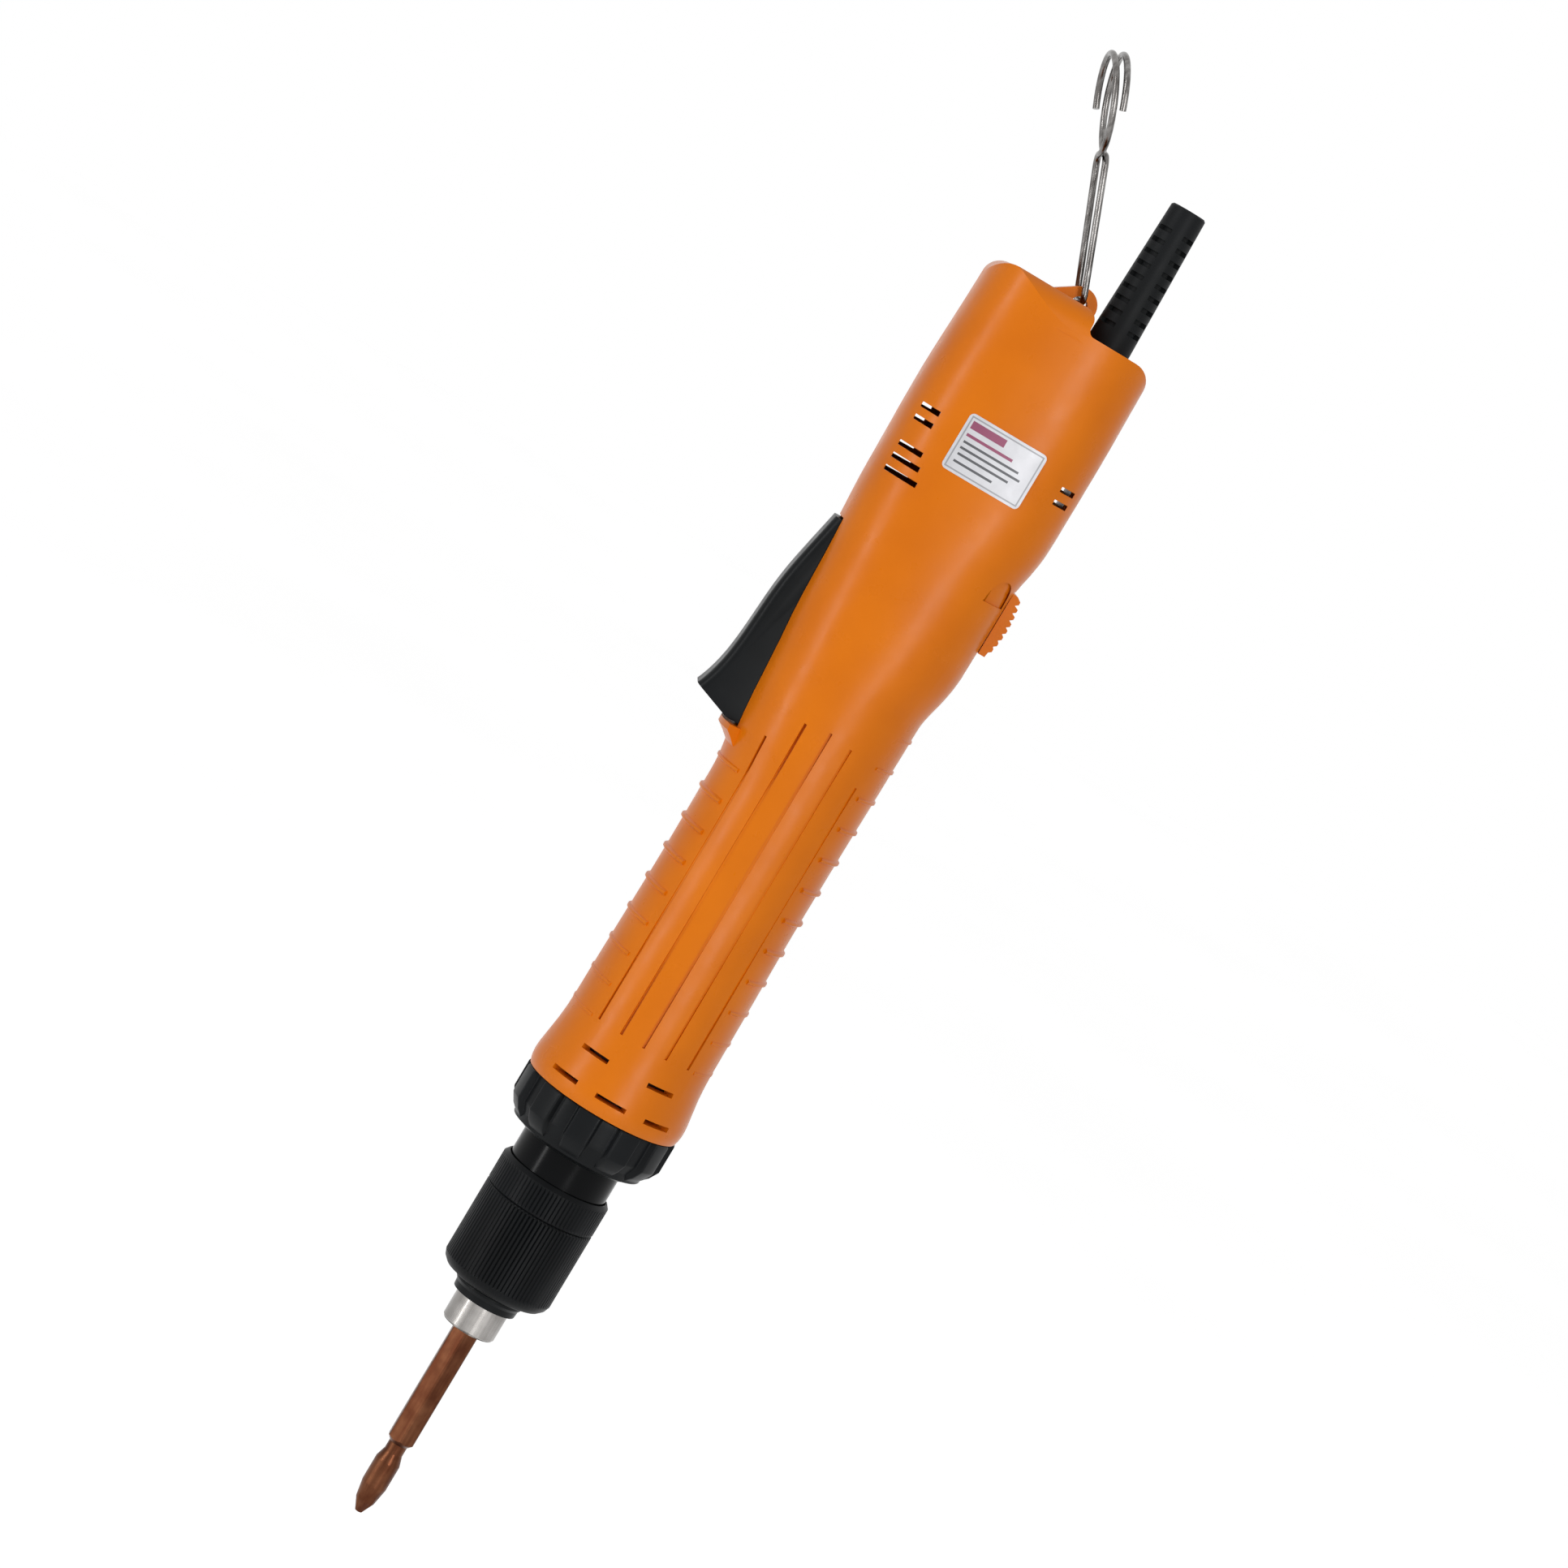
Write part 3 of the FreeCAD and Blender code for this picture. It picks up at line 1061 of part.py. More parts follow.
def make_housing_halves():
    """Front and back half shells, cut from one body at the parting plane."""
    body = make_shell().common([head_outline()]).common([side_outline()]).Solids[0]
    body = body.fuse([make_ear(), lever_lip()] + finger_ribs())
    ear_hole = rod_along(Vector(0, 1, 0), EAR_HOLE_DIA, Vector(EAR_X, -EAR_THICK, EAR_HOLE_Z), 2 * EAR_THICK)
    cuts = make_cavity() + [lever_slot(), ear_hole] + knob_slot() + boot_seat() + ear_pockets()
    body = body.cut(cuts + grip_grooves() + vents())
    pin_hole = rod_along(Vector(0, 1, 0), LEVER_PIN_DIA + 2 * RUN_FIT,
                         Vector(LEVER_PIVOT_X, -LEVER_WIDTH / 2 - 3.0, LEVER_PIVOT_Z), LEVER_WIDTH + 6.0)
    halves = []
    for back in (False, True):
        y_range = (SEAT_GAP / 4, FAR) if back else (-FAR, -SEAT_GAP / 4)
        half = body.common(block((-FAR, FAR), y_range, (-FAR, FAR)))
        half = half.fuse(inner_posts(back))
        for x, z in SCREW_POSTS:
            half = half.cut(rod_along(Vector(0, 1, 0), SCREW_DIA + 2 * RUN_FIT,
                                      Vector(x, -HEAD_DEPTH / 2 + 5.0, z), HEAD_DEPTH))
            if back:
                half = half.cut(rod_along(Vector(0, 1, 0), SCREW_HEAD_DIA + 2 * SEAT_GAP,
                                          Vector(x, HEAD_DEPTH / 2 - 3.5, z), HEAD_DEPTH))
        half = half.cut(pin_hole)
        halves.append(half)
    return halves


def make_screws():
    """Housing screws, driven from the back."""
    screws = []
    head_y = HEAD_DEPTH / 2 - 3.5 - SEAT_GAP
    for x, z in SCREW_POSTS:
        shank = rod_along(Vector(0, 1, 0), SCREW_DIA, Vector(x, -HEAD_DEPTH / 2 + 6.0, z),
                          head_y + HEAD_DEPTH / 2 - 5.5)
        head = rod_along(Vector(0, 1, 0), SCREW_HEAD_DIA, Vector(x, HEAD_DEPTH / 2 - 3.5 + SEAT_GAP, z), 2.0)
        slot = block((x - SCREW_HEAD_DIA / 3, x + SCREW_HEAD_DIA / 3), (HEAD_DEPTH / 2 - 2.2, HEAD_DEPTH / 2),
                     (z - 0.4, z + 0.4))
        cross = slot.copy()
        cross.rotate(Vector(x, 0, z), Vector(0, 1, 0), 90)
        screws.append(fused([shank, head]).cut(slot).cut(cross))
    return screws


# Lever and switches

def lever_web_x():
    """Inner face of the lever's web, where the return spring pushes."""
    return LEVER_PIVOT_X - LEVER_PIN_DIA / 2 - LEVER_WALL


def make_lever_spring():
    """Compression spring between the lever's web and the cross post in the housing."""
    low = lever_web_x() + SEAT_GAP
    high = SPRING_POST_X - POST_DIA / 2 - SEAT_GAP
    spring = coil(LEVER_SPRING_WIRE, LEVER_SPRING_DIA, 0.0, high - low, LEVER_SPRING_TURNS)
    spring.rotate(Vector(0, 0, 0), Vector(0, 1, 0), 90)
    spring.translate(Vector(low, 0, LEVER_SPRING_Z))
    return spring


def make_lever():
    """Curved start lever, hollow at the back, with its pivot bore and a return toe."""
    top = LEVER_TOP_Z
    outer = [Vector(LEVER_TIP_X, 0, LEVER_TIP_Z), Vector(LEVER_TIP_X + 2.1, 0, LEVER_TIP_Z + 6.6),
             Vector(LEVER_TIP_X + 3.3, 0, LEVER_TIP_Z + 16.0), Vector(LEVER_TIP_X + 4.3, 0, LEVER_TIP_Z + 30.0),
             Vector(LEVER_TIP_X + 6.5, 0, LEVER_TIP_Z + 42.4), Vector(LEVER_TIP_X + 7.9, 0, top)]
    curve = Part.BSplineCurve()
    curve.interpolate(outer)
    inner_x = LEVER_PIVOT_X + LEVER_PIN_DIA / 2 + 2.4
    base_x = inner_x + 1.0
    corners = [outer[-1], Vector(inner_x, 0, top), Vector(inner_x, 0, LEVER_ROOT_Z + 3.0),
               Vector(base_x, 0, LEVER_ROOT_Z), Vector(-21.9, 0, LEVER_ROOT_Z), outer[0]]
    edges = [curve.toShape()]
    for start, end in zip(corners, corners[1:]):
        edges.append(Part.LineSegment(start, end).toShape())
    face = Part.Face(Part.Wire(edges))
    body = face.extrude(Vector(0, LEVER_WIDTH, 0))
    body.translate(Vector(0, -LEVER_WIDTH / 2, 0))
    long_edges = [edge for edge in body.Edges if edge.Length > 40 and edge.BoundBox.XMin < LEVER_TIP_X + 1]
    body = body.makeFillet(2.2, long_edges)
    pocket = block((lever_web_x(), inner_x + 5.0),
                   (-LEVER_WIDTH / 2 + LEVER_WALL, LEVER_WIDTH / 2 - LEVER_WALL),
                   (LEVER_ROOT_Z + 5.0, LEVER_PIVOT_Z + LEVER_PIN_DIA))
    body = body.cut(pocket)
    bore = rod_along(Vector(0, 1, 0), LEVER_PIN_DIA + 2 * RUN_FIT,
                     Vector(LEVER_PIVOT_X, -LEVER_WIDTH, LEVER_PIVOT_Z), 2 * LEVER_WIDTH)
    return body.cut(bore)


def make_lever_pin():
    """Pivot pin of the lever, held in both housing halves."""
    half = LEVER_WIDTH / 2 + 2.8
    return rod_along(Vector(0, 1, 0), LEVER_PIN_DIA, Vector(LEVER_PIVOT_X, -half, LEVER_PIVOT_Z), 2 * half)


def make_knob():
    """Direction knob: a crowned, toothed pad on a stem that reaches the switch."""
    middle = KNOB_Z + KNOB_LENGTH / 2
    floor = SADDLE_X - KNOB_RECESS + FREE_GAP
    pitch = KNOB_LENGTH / (KNOB_TEETH + 1)
    profile = [(floor, KNOB_Z), (KNOB_PEAK_X - 1.5, KNOB_Z)]
    for index in range(KNOB_TEETH):
        z = KNOB_Z + (index + 0.75) * pitch
        crown = KNOB_PEAK_X - 1.2 * ((z + pitch / 2 - middle) / (KNOB_LENGTH / 2)) ** 2
        profile += [(crown - 0.7, z), (crown, z + pitch * 0.3), (crown, z + pitch * 0.7)]
    profile += [(KNOB_PEAK_X - 1.9, KNOB_Z + KNOB_LENGTH - 0.2), (floor, KNOB_Z + KNOB_LENGTH)]
    pad = side_plate(profile, -KNOB_WIDTH / 2, KNOB_WIDTH / 2)
    stem = block((SWITCH_FACE_X, floor + 0.5), (-KNOB_STEM / 2, KNOB_STEM / 2),
                 (middle - KNOB_STEM / 2, middle + KNOB_STEM / 2))
    return fused([pad, stem])


def make_direction_switch():
    """Slide-switch body behind the knob."""
    middle = KNOB_Z + KNOB_LENGTH / 2 - KNOB_TRAVEL / 2
    return block((SWITCH_FACE_X - 6.0, SWITCH_FACE_X - FREE_GAP), (-4.0, BOARD_Y - SEAT_GAP),
                 (middle - 9.0, middle + 9.0))


def make_board():
    """Controller board that stands behind the drive axis."""
    return block((-BOARD_WIDTH / 2, BOARD_WIDTH / 2), (BOARD_Y, BOARD_Y + BOARD_THICK),
                 (BOARD_Z, BOARD_Z + BOARD_LENGTH))


def make_board_parts():
    """Storage capacitor, three power switches and a connector on the board."""
    face = BOARD_Y - SEAT_GAP
    parts = [rod_along(Vector(0, -1, 0), CAPACITOR_DIA, Vector(4.0, face, BOARD_Z + 48.0), 10.0)]
    for index in range(3):
        x = -6.0 + index * 6.0
        parts.append(block((x - 2.3, x + 2.3), (face - 1.8, face), (BOARD_Z + 30.0, BOARD_Z + 36.0)))
    parts.append(block((-8.0, 2.0), (face - 6.0, face), (BOARD_Z + BOARD_LENGTH - 8.0, BOARD_Z + BOARD_LENGTH - 2.0)))
    return parts


def make_start_switch():
    """Start switch held between the two halves, with its plunger towards the lever."""
    wide, deep, tall = SWITCH_SIZE
    body = block((SWITCH_X - wide / 2, SWITCH_X + wide / 2), (-deep / 2, deep / 2),
                 (SWITCH_Z - tall / 2, SWITCH_Z + tall / 2))
    plunger = block((SWITCH_X - wide / 2 - 1.0, SWITCH_X), (-1.2, 1.2), (SWITCH_Z - 3.0, SWITCH_Z - 1.0))
    blades = [block((SWITCH_X, SWITCH_X + wide / 2 + 3.0), (-1.6, 1.6), (SWITCH_Z + step, SWITCH_Z + step + 0.5))
              for step in (-8.0, 0.0, 7.5)]
    return fused([body, plunger] + blades)


# Suspension hook

def hook_half_path():
    """Centre line of one half of the hook, in the plane of Y and the lean direction."""
    leg_y = -HOOK_LEG_SPAN / 2
    bend = HOOK_BEND
    ring = HOOK_RING_DIA / 2
    centre = Vector(0, 0, HOOK_LENGTH)
    foot = Vector(0, leg_y, bend)
    neck = Vector(0, -HOOK_NECK_SPAN / 2, HOOK_LENGTH - ring - 2.0)
    direction = (neck - foot).normalize()
    right = Vector(0, direction.z, -direction.y)
    reach = ring + HOOK_SHOULDER
    base = foot + right * HOOK_SHOULDER - centre
    half_b = base.dot(direction)
    travel = -half_b - math.sqrt(half_b ** 2 - base.dot(base) + reach ** 2)
    leg_end = foot + direction * travel
    shoulder_centre = leg_end + right * HOOK_SHOULDER
    touch = centre + (shoulder_centre - centre).normalize() * ring
    middle_way = ((leg_end - shoulder_centre).normalize() + (touch - shoulder_centre).normalize()).normalize()
    shoulder_middle = shoulder_centre + middle_way * HOOK_SHOULDER
    start_angle = math.atan2(touch.z - centre.z, touch.y)
    end_angle = math.radians(HOOK_END_ANGLE)
    half_angle = (start_angle + end_angle) / 2
    ring_points = [centre + Vector(0, ring * math.cos(a), ring * math.sin(a)) for a in (half_angle, end_angle)]
    bend_centre = Vector(0, leg_y + bend, bend)
    corner = math.sqrt(0.5) * bend
    edges = [
        Part.LineSegment(Vector(0, 0, 0), Vector(0, leg_y + bend, 0)).toShape(),
        Part.Arc(Vector(0, leg_y + bend, 0), bend_centre + Vector(0, -corner, -corner), foot).toShape(),
        Part.LineSegment(foot, leg_end).toShape(),
        Part.Arc(leg_end, shoulder_middle, touch).toShape(),
        Part.Arc(touch, ring_points[0], ring_points[1]).toShape(),
    ]
    return Part.Wire(edges)


def make_hook():
    """Spring-wire hook: one wire through the lug, with two rings that open on opposite sides."""
    path = hook_half_path()
    circle = Part.Wire([Part.makeCircle(HOOK_WIRE / 2, Vector(0, 0, 0), Vector(0, 1, 0))])
    half = path.makePipeShell([circle], True, False)
    half.rotate(Vector(0, 0, 0), Vector(0, 1, 0), HOOK_PLANE_TILT)
    other = half.copy()
    other.rotate(Vector(0, 0, 0), Vector(0, 0, 1), 180)
    hook = fused([half, other])
    hook.rotate(Vector(0, 0, 0), Vector(0, 0, 1), HOOK_TWIST)
    hook.rotate(Vector(0, 0, 0), Vector(0, 1, 0), -HOOK_LEAN)
    hook.translate(Vector(EAR_X, 0, HOOK_PIVOT_Z))
    return hook


# Cord boot and clamp

def make_boot():
    """Tapered strain-relief boot with rows of slots between four spines."""
    base_z = LOW_TOP_Z - CAVITY_TOP_GAP - BOOT_FLANGE
    base = BOOT_BASE_DIA / 2
    end = BOOT_END_DIA / 2
    bore = BOOT_BORE / 2
    body = turned([(bore, base_z), (BOOT_FLANGE_DIA / 2, base_z), (BOOT_FLANGE_DIA / 2, base_z + BOOT_FLANGE),
                   (base, base_z + BOOT_FLANGE), (base, LOW_TOP_Z + 1.0), (end, BOOT_TOP_Z - 0.4),
                   (end - 0.4, BOOT_TOP_Z), (bore, BOOT_TOP_Z)], BOOT_X)
    first = LOW_TOP_Z + 4.6
    for row in range(BOOT_SLOT_ROWS):
        z = first + row * BOOT_SLOT_PITCH
        share = (z - LOW_TOP_Z) / (BOOT_TOP_Z - LOW_TOP_Z)
        radius = base + (end - base) * share
        for quarter in range(4):
            slot = tube(2 * radius + 2, 2 * (radius - BOOT_SLOT_DEPTH), z, z + BOOT_SLOT_HEIGHT)
            sector = Part.makeCylinder(2 * radius, BOOT_SLOT_HEIGHT, Vector(0, 0, z), Vector(0, 0, 1), 52.0)
            sector.rotate(Vector(0, 0, 0), Vector(0, 0, 1), quarter * 90.0 + 45.0 - 26.0)
            piece = slot.common(sector)
            piece.translate(Vector(BOOT_X, 0, 0))
            body = body.cut(piece)
    return body


def make_all():
    """Build and write every sub-part."""
    save("screwdriver_bit", [make_bit()])
    save("spindle", [make_spindle()])
    save("lock_balls", make_lock_balls())
    save("bit_sleeve", [make_bit_sleeve()])
    save("sleeve_spring", [make_sleeve_spring()])
    save("retaining_ring", [tube(SLEEVE_BORE - 2 * FREE_GAP, SPINDLE_DIA + 2 * RUN_FIT, SPINDLE_FRONT_Z,
                                 SPINDLE_FRONT_Z + RETAINER_THICK)])
    save("front_bush", [tube(BUSH_DIA, JOURNAL_DIA + 2 * RUN_FIT, NOSE_Z + 0.4, STEP_WALL_Z - 2.0 - SEAT_GAP)])
    save("rear_bush", [tube(REAR_BUSH_DIA, JOURNAL_DIA + 2 * RUN_FIT, CASE_Z - 0.2,
                            CASE_Z + CASE_FRONT_WALL + 0.6)])
    save("clutch_housing", [make_clutch_housing()])
    save("nose_cap", [make_nose_cap()])
    save("torque_collar", [make_torque_collar()])
    save("lock_ring", [make_lock_ring()])
    save("push_pins", make_push_pins())
    save("thrust_washer", [tube(CAVITY_DIA - 2 * FREE_GAP, JOURNAL_DIA + 4 * FREE_GAP, WASHER_Z,
                                WASHER_Z + WASHER_THICK)])
    save("clutch_spring", [coil(CLUTCH_SPRING_WIRE, CAVITY_DIA - CLUTCH_SPRING_WIRE - 4 * FREE_GAP,
                                WASHER_Z + WASHER_THICK, HUB_Z, CLUTCH_SPRING_TURNS)])
    save("clutch_plate", [make_clutch_plate()])
    save("clutch_balls", make_clutch_balls())
    save("coupling_nut", [make_coupling_nut()])
    save("gear_case", [make_gear_case()])
    save("ring_gear", [make_ring_gear()])
    save("output_carrier", [make_output_carrier()])
    save("input_carrier", [make_input_carrier()])
    for number, planet in enumerate(make_planets(OUTPUT_GEAR_Z, OUTPUT_GEAR_WIDTH), 1):
        save("output_planet_%d" % number, [planet])
    for number, planet in enumerate(make_planets(INPUT_GEAR_Z, INPUT_GEAR_WIDTH), 1):
        save("input_planet_%d" % number, [planet])
    save("motor_can", [make_motor_can()])
    save("motor_end_bell", [make_motor_end()])
    save("front_motor_bearing", [motor_bearing(MOTOR_Z + MOTOR_PLATE)])
    save("rear_motor_bearing", [motor_bearing(MOTOR_TOP_Z - MOTOR_PLATE - 1 - BEARING_WIDTH + SEAT_GAP)])
    save("stator_core", [make_stator()])
    save("stator_windings", make_windings())
    save("rotor_magnet", [make_rotor()])
    save("motor_shaft", [make_motor_shaft()])
    front, back = make_housing_halves()
    save("front_housing_half", [front])
    save("back_housing_half", [back])
    save("housing_screws", make_screws())
    save("start_lever", [make_lever()])
    save("lever_pin", [make_lever_pin()])
    save("lever_spring", [make_lever_spring()])
    save("direction_knob", [make_knob()])
    save("direction_switch", [make_direction_switch()])
    save("controller_board", [make_board()])
    save("board_parts", make_board_parts())
    save("start_switch", [make_start_switch()])
    save("suspension_hook", [make_hook()])
    save("strain_relief_boot", [make_boot()])


os.makedirs("parts", exist_ok=True)
make_all()
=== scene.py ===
import math

import bpy
from bpy.props import FloatProperty, FloatVectorProperty, IntProperty, PointerProperty
from bpy.types import NodeSocket, Operator, Panel, PropertyGroup
from mathutils import Matrix, Vector


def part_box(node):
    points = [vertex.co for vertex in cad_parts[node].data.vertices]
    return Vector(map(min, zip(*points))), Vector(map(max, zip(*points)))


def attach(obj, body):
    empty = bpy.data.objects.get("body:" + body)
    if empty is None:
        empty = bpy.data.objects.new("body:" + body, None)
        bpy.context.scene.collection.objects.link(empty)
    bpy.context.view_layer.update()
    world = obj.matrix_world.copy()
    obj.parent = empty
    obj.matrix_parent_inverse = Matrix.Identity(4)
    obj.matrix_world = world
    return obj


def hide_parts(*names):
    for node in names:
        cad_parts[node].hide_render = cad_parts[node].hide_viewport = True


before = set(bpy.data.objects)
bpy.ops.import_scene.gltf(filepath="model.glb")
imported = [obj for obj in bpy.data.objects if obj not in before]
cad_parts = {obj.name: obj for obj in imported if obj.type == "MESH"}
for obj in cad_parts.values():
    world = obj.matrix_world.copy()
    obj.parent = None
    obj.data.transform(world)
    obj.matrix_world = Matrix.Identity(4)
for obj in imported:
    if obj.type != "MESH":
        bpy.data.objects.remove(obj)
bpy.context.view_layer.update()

bl_info = {
    "name": "Torque screwdriver dressing",
    "version": (1, 0, 0),
    "blender": (4, 5, 0),
    "location": "3D View > Sidebar > Driver",
    "description": "Finishes a packed lever-start torque screwdriver and lights it",
    "category": "Object",
}

MM = 0.001
FULL_TURN = 2 * math.pi
RIDGE_STEPS = 4     # steps of the turned collar in one knurled ridge
GRIP_STEPS = 20     # steps of the turned nut in one grip
KNURL_ANGLE = 25.0  # degrees up to which the knurled rings are shaded smooth


def span(node, axis):
    """Lowest and highest place of a CAD node along one axis."""
    low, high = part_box(node)
    return low[axis], high[axis]


def linear(code):
    """An sRGB hex colour as linear red, green, blue and alpha."""
    values = [int(code[index:index + 2], 16) / 255 for index in (1, 3, 5)]
    curve = [v / 12.92 if v <= 0.04045 else ((v + 0.055) / 1.055) ** 2.4 for v in values]
    return (*curve, 1.0)


# Modelling

def only(obj):
    """Selects this object alone and makes it active."""
    bpy.ops.object.select_all(action="DESELECT")
    obj.select_set(True)
    bpy.context.view_layer.objects.active = obj


def pick(obj, wanted):
    """Opens an object in edit mode with the vertices selected that a test accepts."""
    mesh = obj.data
    for group in (mesh.vertices, mesh.edges, mesh.polygons):
        group.foreach_set("select", [False] * len(group))
    for vertex in mesh.vertices:
        vertex.select = wanted(vertex)
    only(obj)
    bpy.ops.object.mode_set(mode="EDIT")
    bpy.ops.mesh.select_mode(type="VERT")


def settle(obj, angle=35.0):
    """Puts an object's place in its mesh and rounds its shading up to an angle."""
    only(obj)
    bpy.ops.object.transform_apply(location=True, rotation=True, scale=True)
    bpy.ops.object.shade_smooth_by_angle(angle=math.radians(angle))
    return obj


def apply_all(obj):
    """Applies every modifier of an object, in order."""
    only(obj)
    for modifier in list(obj.modifiers):
        bpy.ops.object.modifier_apply(modifier=modifier.name)


def draw_outline(name, points):
    """Starts a piece, in edit mode, with a line of vertices through these points."""
    bpy.ops.object.select_all(action="DESELECT")
    bpy.ops.mesh.primitive_plane_add(size=MM, location=(0, 0, 0))
    obj = bpy.context.object
    obj.name = name
    bpy.ops.object.mode_set(mode="EDIT")
    bpy.ops.mesh.select_all(action="SELECT")
    bpy.ops.mesh.merge(type="CENTER")
    bpy.ops.transform.translate(value=points[0])
    for here, there in zip(points, points[1:]):
        step = tuple(end - start for start, end in zip(here, there))
        bpy.ops.mesh.extrude_vertices_move(TRANSFORM_OT_translate={"value": step})
    return obj


def lathe(name, outline, steps):
    """A ring turned about the upright axis from a closed outline of radius and height, in metres."""
    obj = draw_outline(name, [(radius, 0, height) for radius, height in outline])
    bpy.ops.object.mode_set(mode="OBJECT")
    last = len(outline) - 1
    pick(obj, lambda vertex: vertex.index in (0, last))
    bpy.ops.mesh.edge_face_add()
    bpy.ops.mesh.select_all(action="SELECT")
    bpy.ops.mesh.spin(steps=steps, angle=FULL_TURN, center=(0, 0, 0), axis=(0, 0, 1))
    bpy.ops.mesh.select_all(action="SELECT")
    bpy.ops.mesh.remove_doubles(threshold=1e-6)
    bpy.ops.mesh.normals_make_consistent(inside=False)
    bpy.ops.object.mode_set(mode="OBJECT")
    return obj


def column(name, outline, levels):
    """An upright column from a closed outline of x and y and its levels: height and shift in x and y."""
    height, shift_x, shift_y = levels[0]
    obj = draw_outline(name, [(x + shift_x, y + shift_y, height) for x, y in outline])
    bpy.ops.mesh.select_all(action="SELECT")
    bpy.ops.mesh.edge_face_add()
    for below, above in zip(levels, levels[1:]):
        step = tuple(above[axis] - below[axis] for axis in (1, 2, 0))
        bpy.ops.mesh.extrude_region_move(TRANSFORM_OT_translate={"value": step})
    bpy.ops.mesh.select_all(action="SELECT")
    bpy.ops.mesh.normals_make_consistent(inside=False)
    bpy.ops.object.mode_set(mode="OBJECT")
    return obj


def turn_of(point, steps):
    """Which of the equal steps round the axis a point stands on."""
    return round(math.atan2(point.y, point.x) / FULL_TURN * steps) % steps


def knurl(obj, steps, radius, low, high, depth):
    """Sinks every fourth line of a turned face to make straight knurling."""
    skin = radius - 0.05 * MM
    pick(obj, lambda vertex: vertex.co.xy.length > skin and low < vertex.co.z < high
         and turn_of(vertex.co, steps) % RIDGE_STEPS == 0)
    share = 1 - depth / radius
    bpy.ops.transform.resize(value=(share, share, 1), center_override=(0, 0, 0))
    bpy.ops.object.mode_set(mode="OBJECT")


def merged_copy(name, node):
    """A new piece with the shape of a CAD node, with its loose triangles joined."""
    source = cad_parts[node]
    obj = bpy.data.objects.new(name, source.data.copy())
    bpy.context.scene.collection.objects.link(obj)
    only(obj)
    if obj.data.has_custom_normals:
        bpy.ops.mesh.customdata_custom_splitnormals_clear()
    bpy.ops.object.mode_set(mode="EDIT")
    bpy.ops.mesh.select_all(action="SELECT")
    bpy.ops.mesh.remove_doubles(threshold=2e-6)
    bpy.ops.mesh.dissolve_limited(angle_limit=math.radians(0.5))
    bpy.ops.object.mode_set(mode="OBJECT")
    return obj


def bevel(obj, width, segments=3, angle=30.0):
    """Rounds the sharp edges of a piece."""
    modifier = obj.modifiers.new("rounded edges", "BEVEL")
    modifier.width = width
    modifier.segments = segments
    modifier.limit_method = "ANGLE"
    modifier.angle_limit = math.radians(angle)
    modifier.use_clamp_overlap = True
    apply_all(obj)


def fit(piece, body, material, stands_for=()):
    """Gives a new piece its material and its body, and hides the nodes it stands for."""
    piece.data.materials.clear()
    piece.data.materials.append(material)
    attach(piece, body)
    if stands_for:
        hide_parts(*stands_for)
    return piece


def finish_nodes(material, *nodes):
    """Gives CAD nodes a material."""
    for node in nodes:
        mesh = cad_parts[node].data
        mesh.materials.clear()
        mesh.materials.append(material)


# Materials

def add_node(tree, kind, settings=(), inputs=()):
    """Adds a shader node with its settings, and with its inputs set to values or linked to sockets."""
    made = tree.nodes.new("ShaderNode" + kind)
    for name, value in dict(settings).items():
        setattr(made, name, value)
    for socket, value in dict(inputs).items():
        if isinstance(value, NodeSocket):
            tree.links.new(value, made.inputs[socket])
        else:
            made.inputs[socket].default_value = value
    return made


def new_material(name):
    """An empty material, its node tree, and a shader joined to its output."""
    material = bpy.data.materials.new(name)
    material.use_nodes = True
    tree = material.node_tree
    tree.nodes.clear()
    shader = add_node(tree, "BsdfPrincipled")
    add_node(tree, "OutputMaterial", (), {"Surface": shader.outputs[0]})
    place = add_node(tree, "TexCoord").outputs["Object"]
    return material, tree, shader, place


def feed(tree, shader, inputs):
    """Sets or links inputs of the shader."""
    for socket, value in inputs.items():
        if isinstance(value, NodeSocket):
            tree.links.new(value, shader.inputs[socket])
        else:
            shader.inputs[socket].default_value = value


def ramp(tree, factor, stops):
    """A colour ramp of positions and colours."""
    made = add_node(tree, "ValToRGB", (), {"Fac": factor})
    elements = made.color_ramp.elements
    while len(elements) < len(stops):
        elements.new(0.5)
    for element, (place, colour) in zip(elements, stops):
        element.position = place
        element.color = colour
    return made.outputs["Color"]


def grey(value):
    """A neutral linear colour."""
    return (value, value, value, 1.0)


def noise(tree, place, size, detail=3.0, stretch=(1, 1, 1)):
    """Noise whose grains have a real size in metres, drawn out along an axis by stretch."""
    scaled = add_node(tree, "Mapping", (), {"Vector": place, "Scale": [s / size for s in stretch]})
    made = add_node(tree, "TexNoise", (), {"Vector": scaled.outputs[0], "Scale": 1.0, "Detail": detail})
    return made.outputs["Fac"]


def bump(tree, height, depth, strength=0.5):
    """A bump from a height pattern, with its depth in metres."""
    made = add_node(tree, "Bump", (), {"Height": height, "Distance": depth, "Strength": strength})
    return made.outputs[0]


def moulded_plastic(name, light, dark, rough, grain, depth, specular=0.5, coat=0.0):
    """Moulded plastic: cloudy colour, uneven gloss and the fine grain of a spark-eroded mould."""
    material, tree, shader, place = new_material(name)
    clouds = noise(tree, place, 18 * MM, 2.0)
    fine = noise(tree, place, grain, 2.0)
    gloss = noise(tree, place, 6 * MM, 4.0)
    feed(tree, shader, {
        "Base Color": ramp(tree, clouds, [(0.3, dark), (0.7, light)]),
        "Roughness": ramp(tree, gloss, [(0.3, grey(rough - 0.04)), (0.7, grey(rough + 0.05))]),
        "Normal": bump(tree, fine, depth),
        "IOR": 1.5,
        "Specular IOR Level": specular,
        "Coat Weight": coat,
        "Coat Roughness": 0.12,
    })
    return material


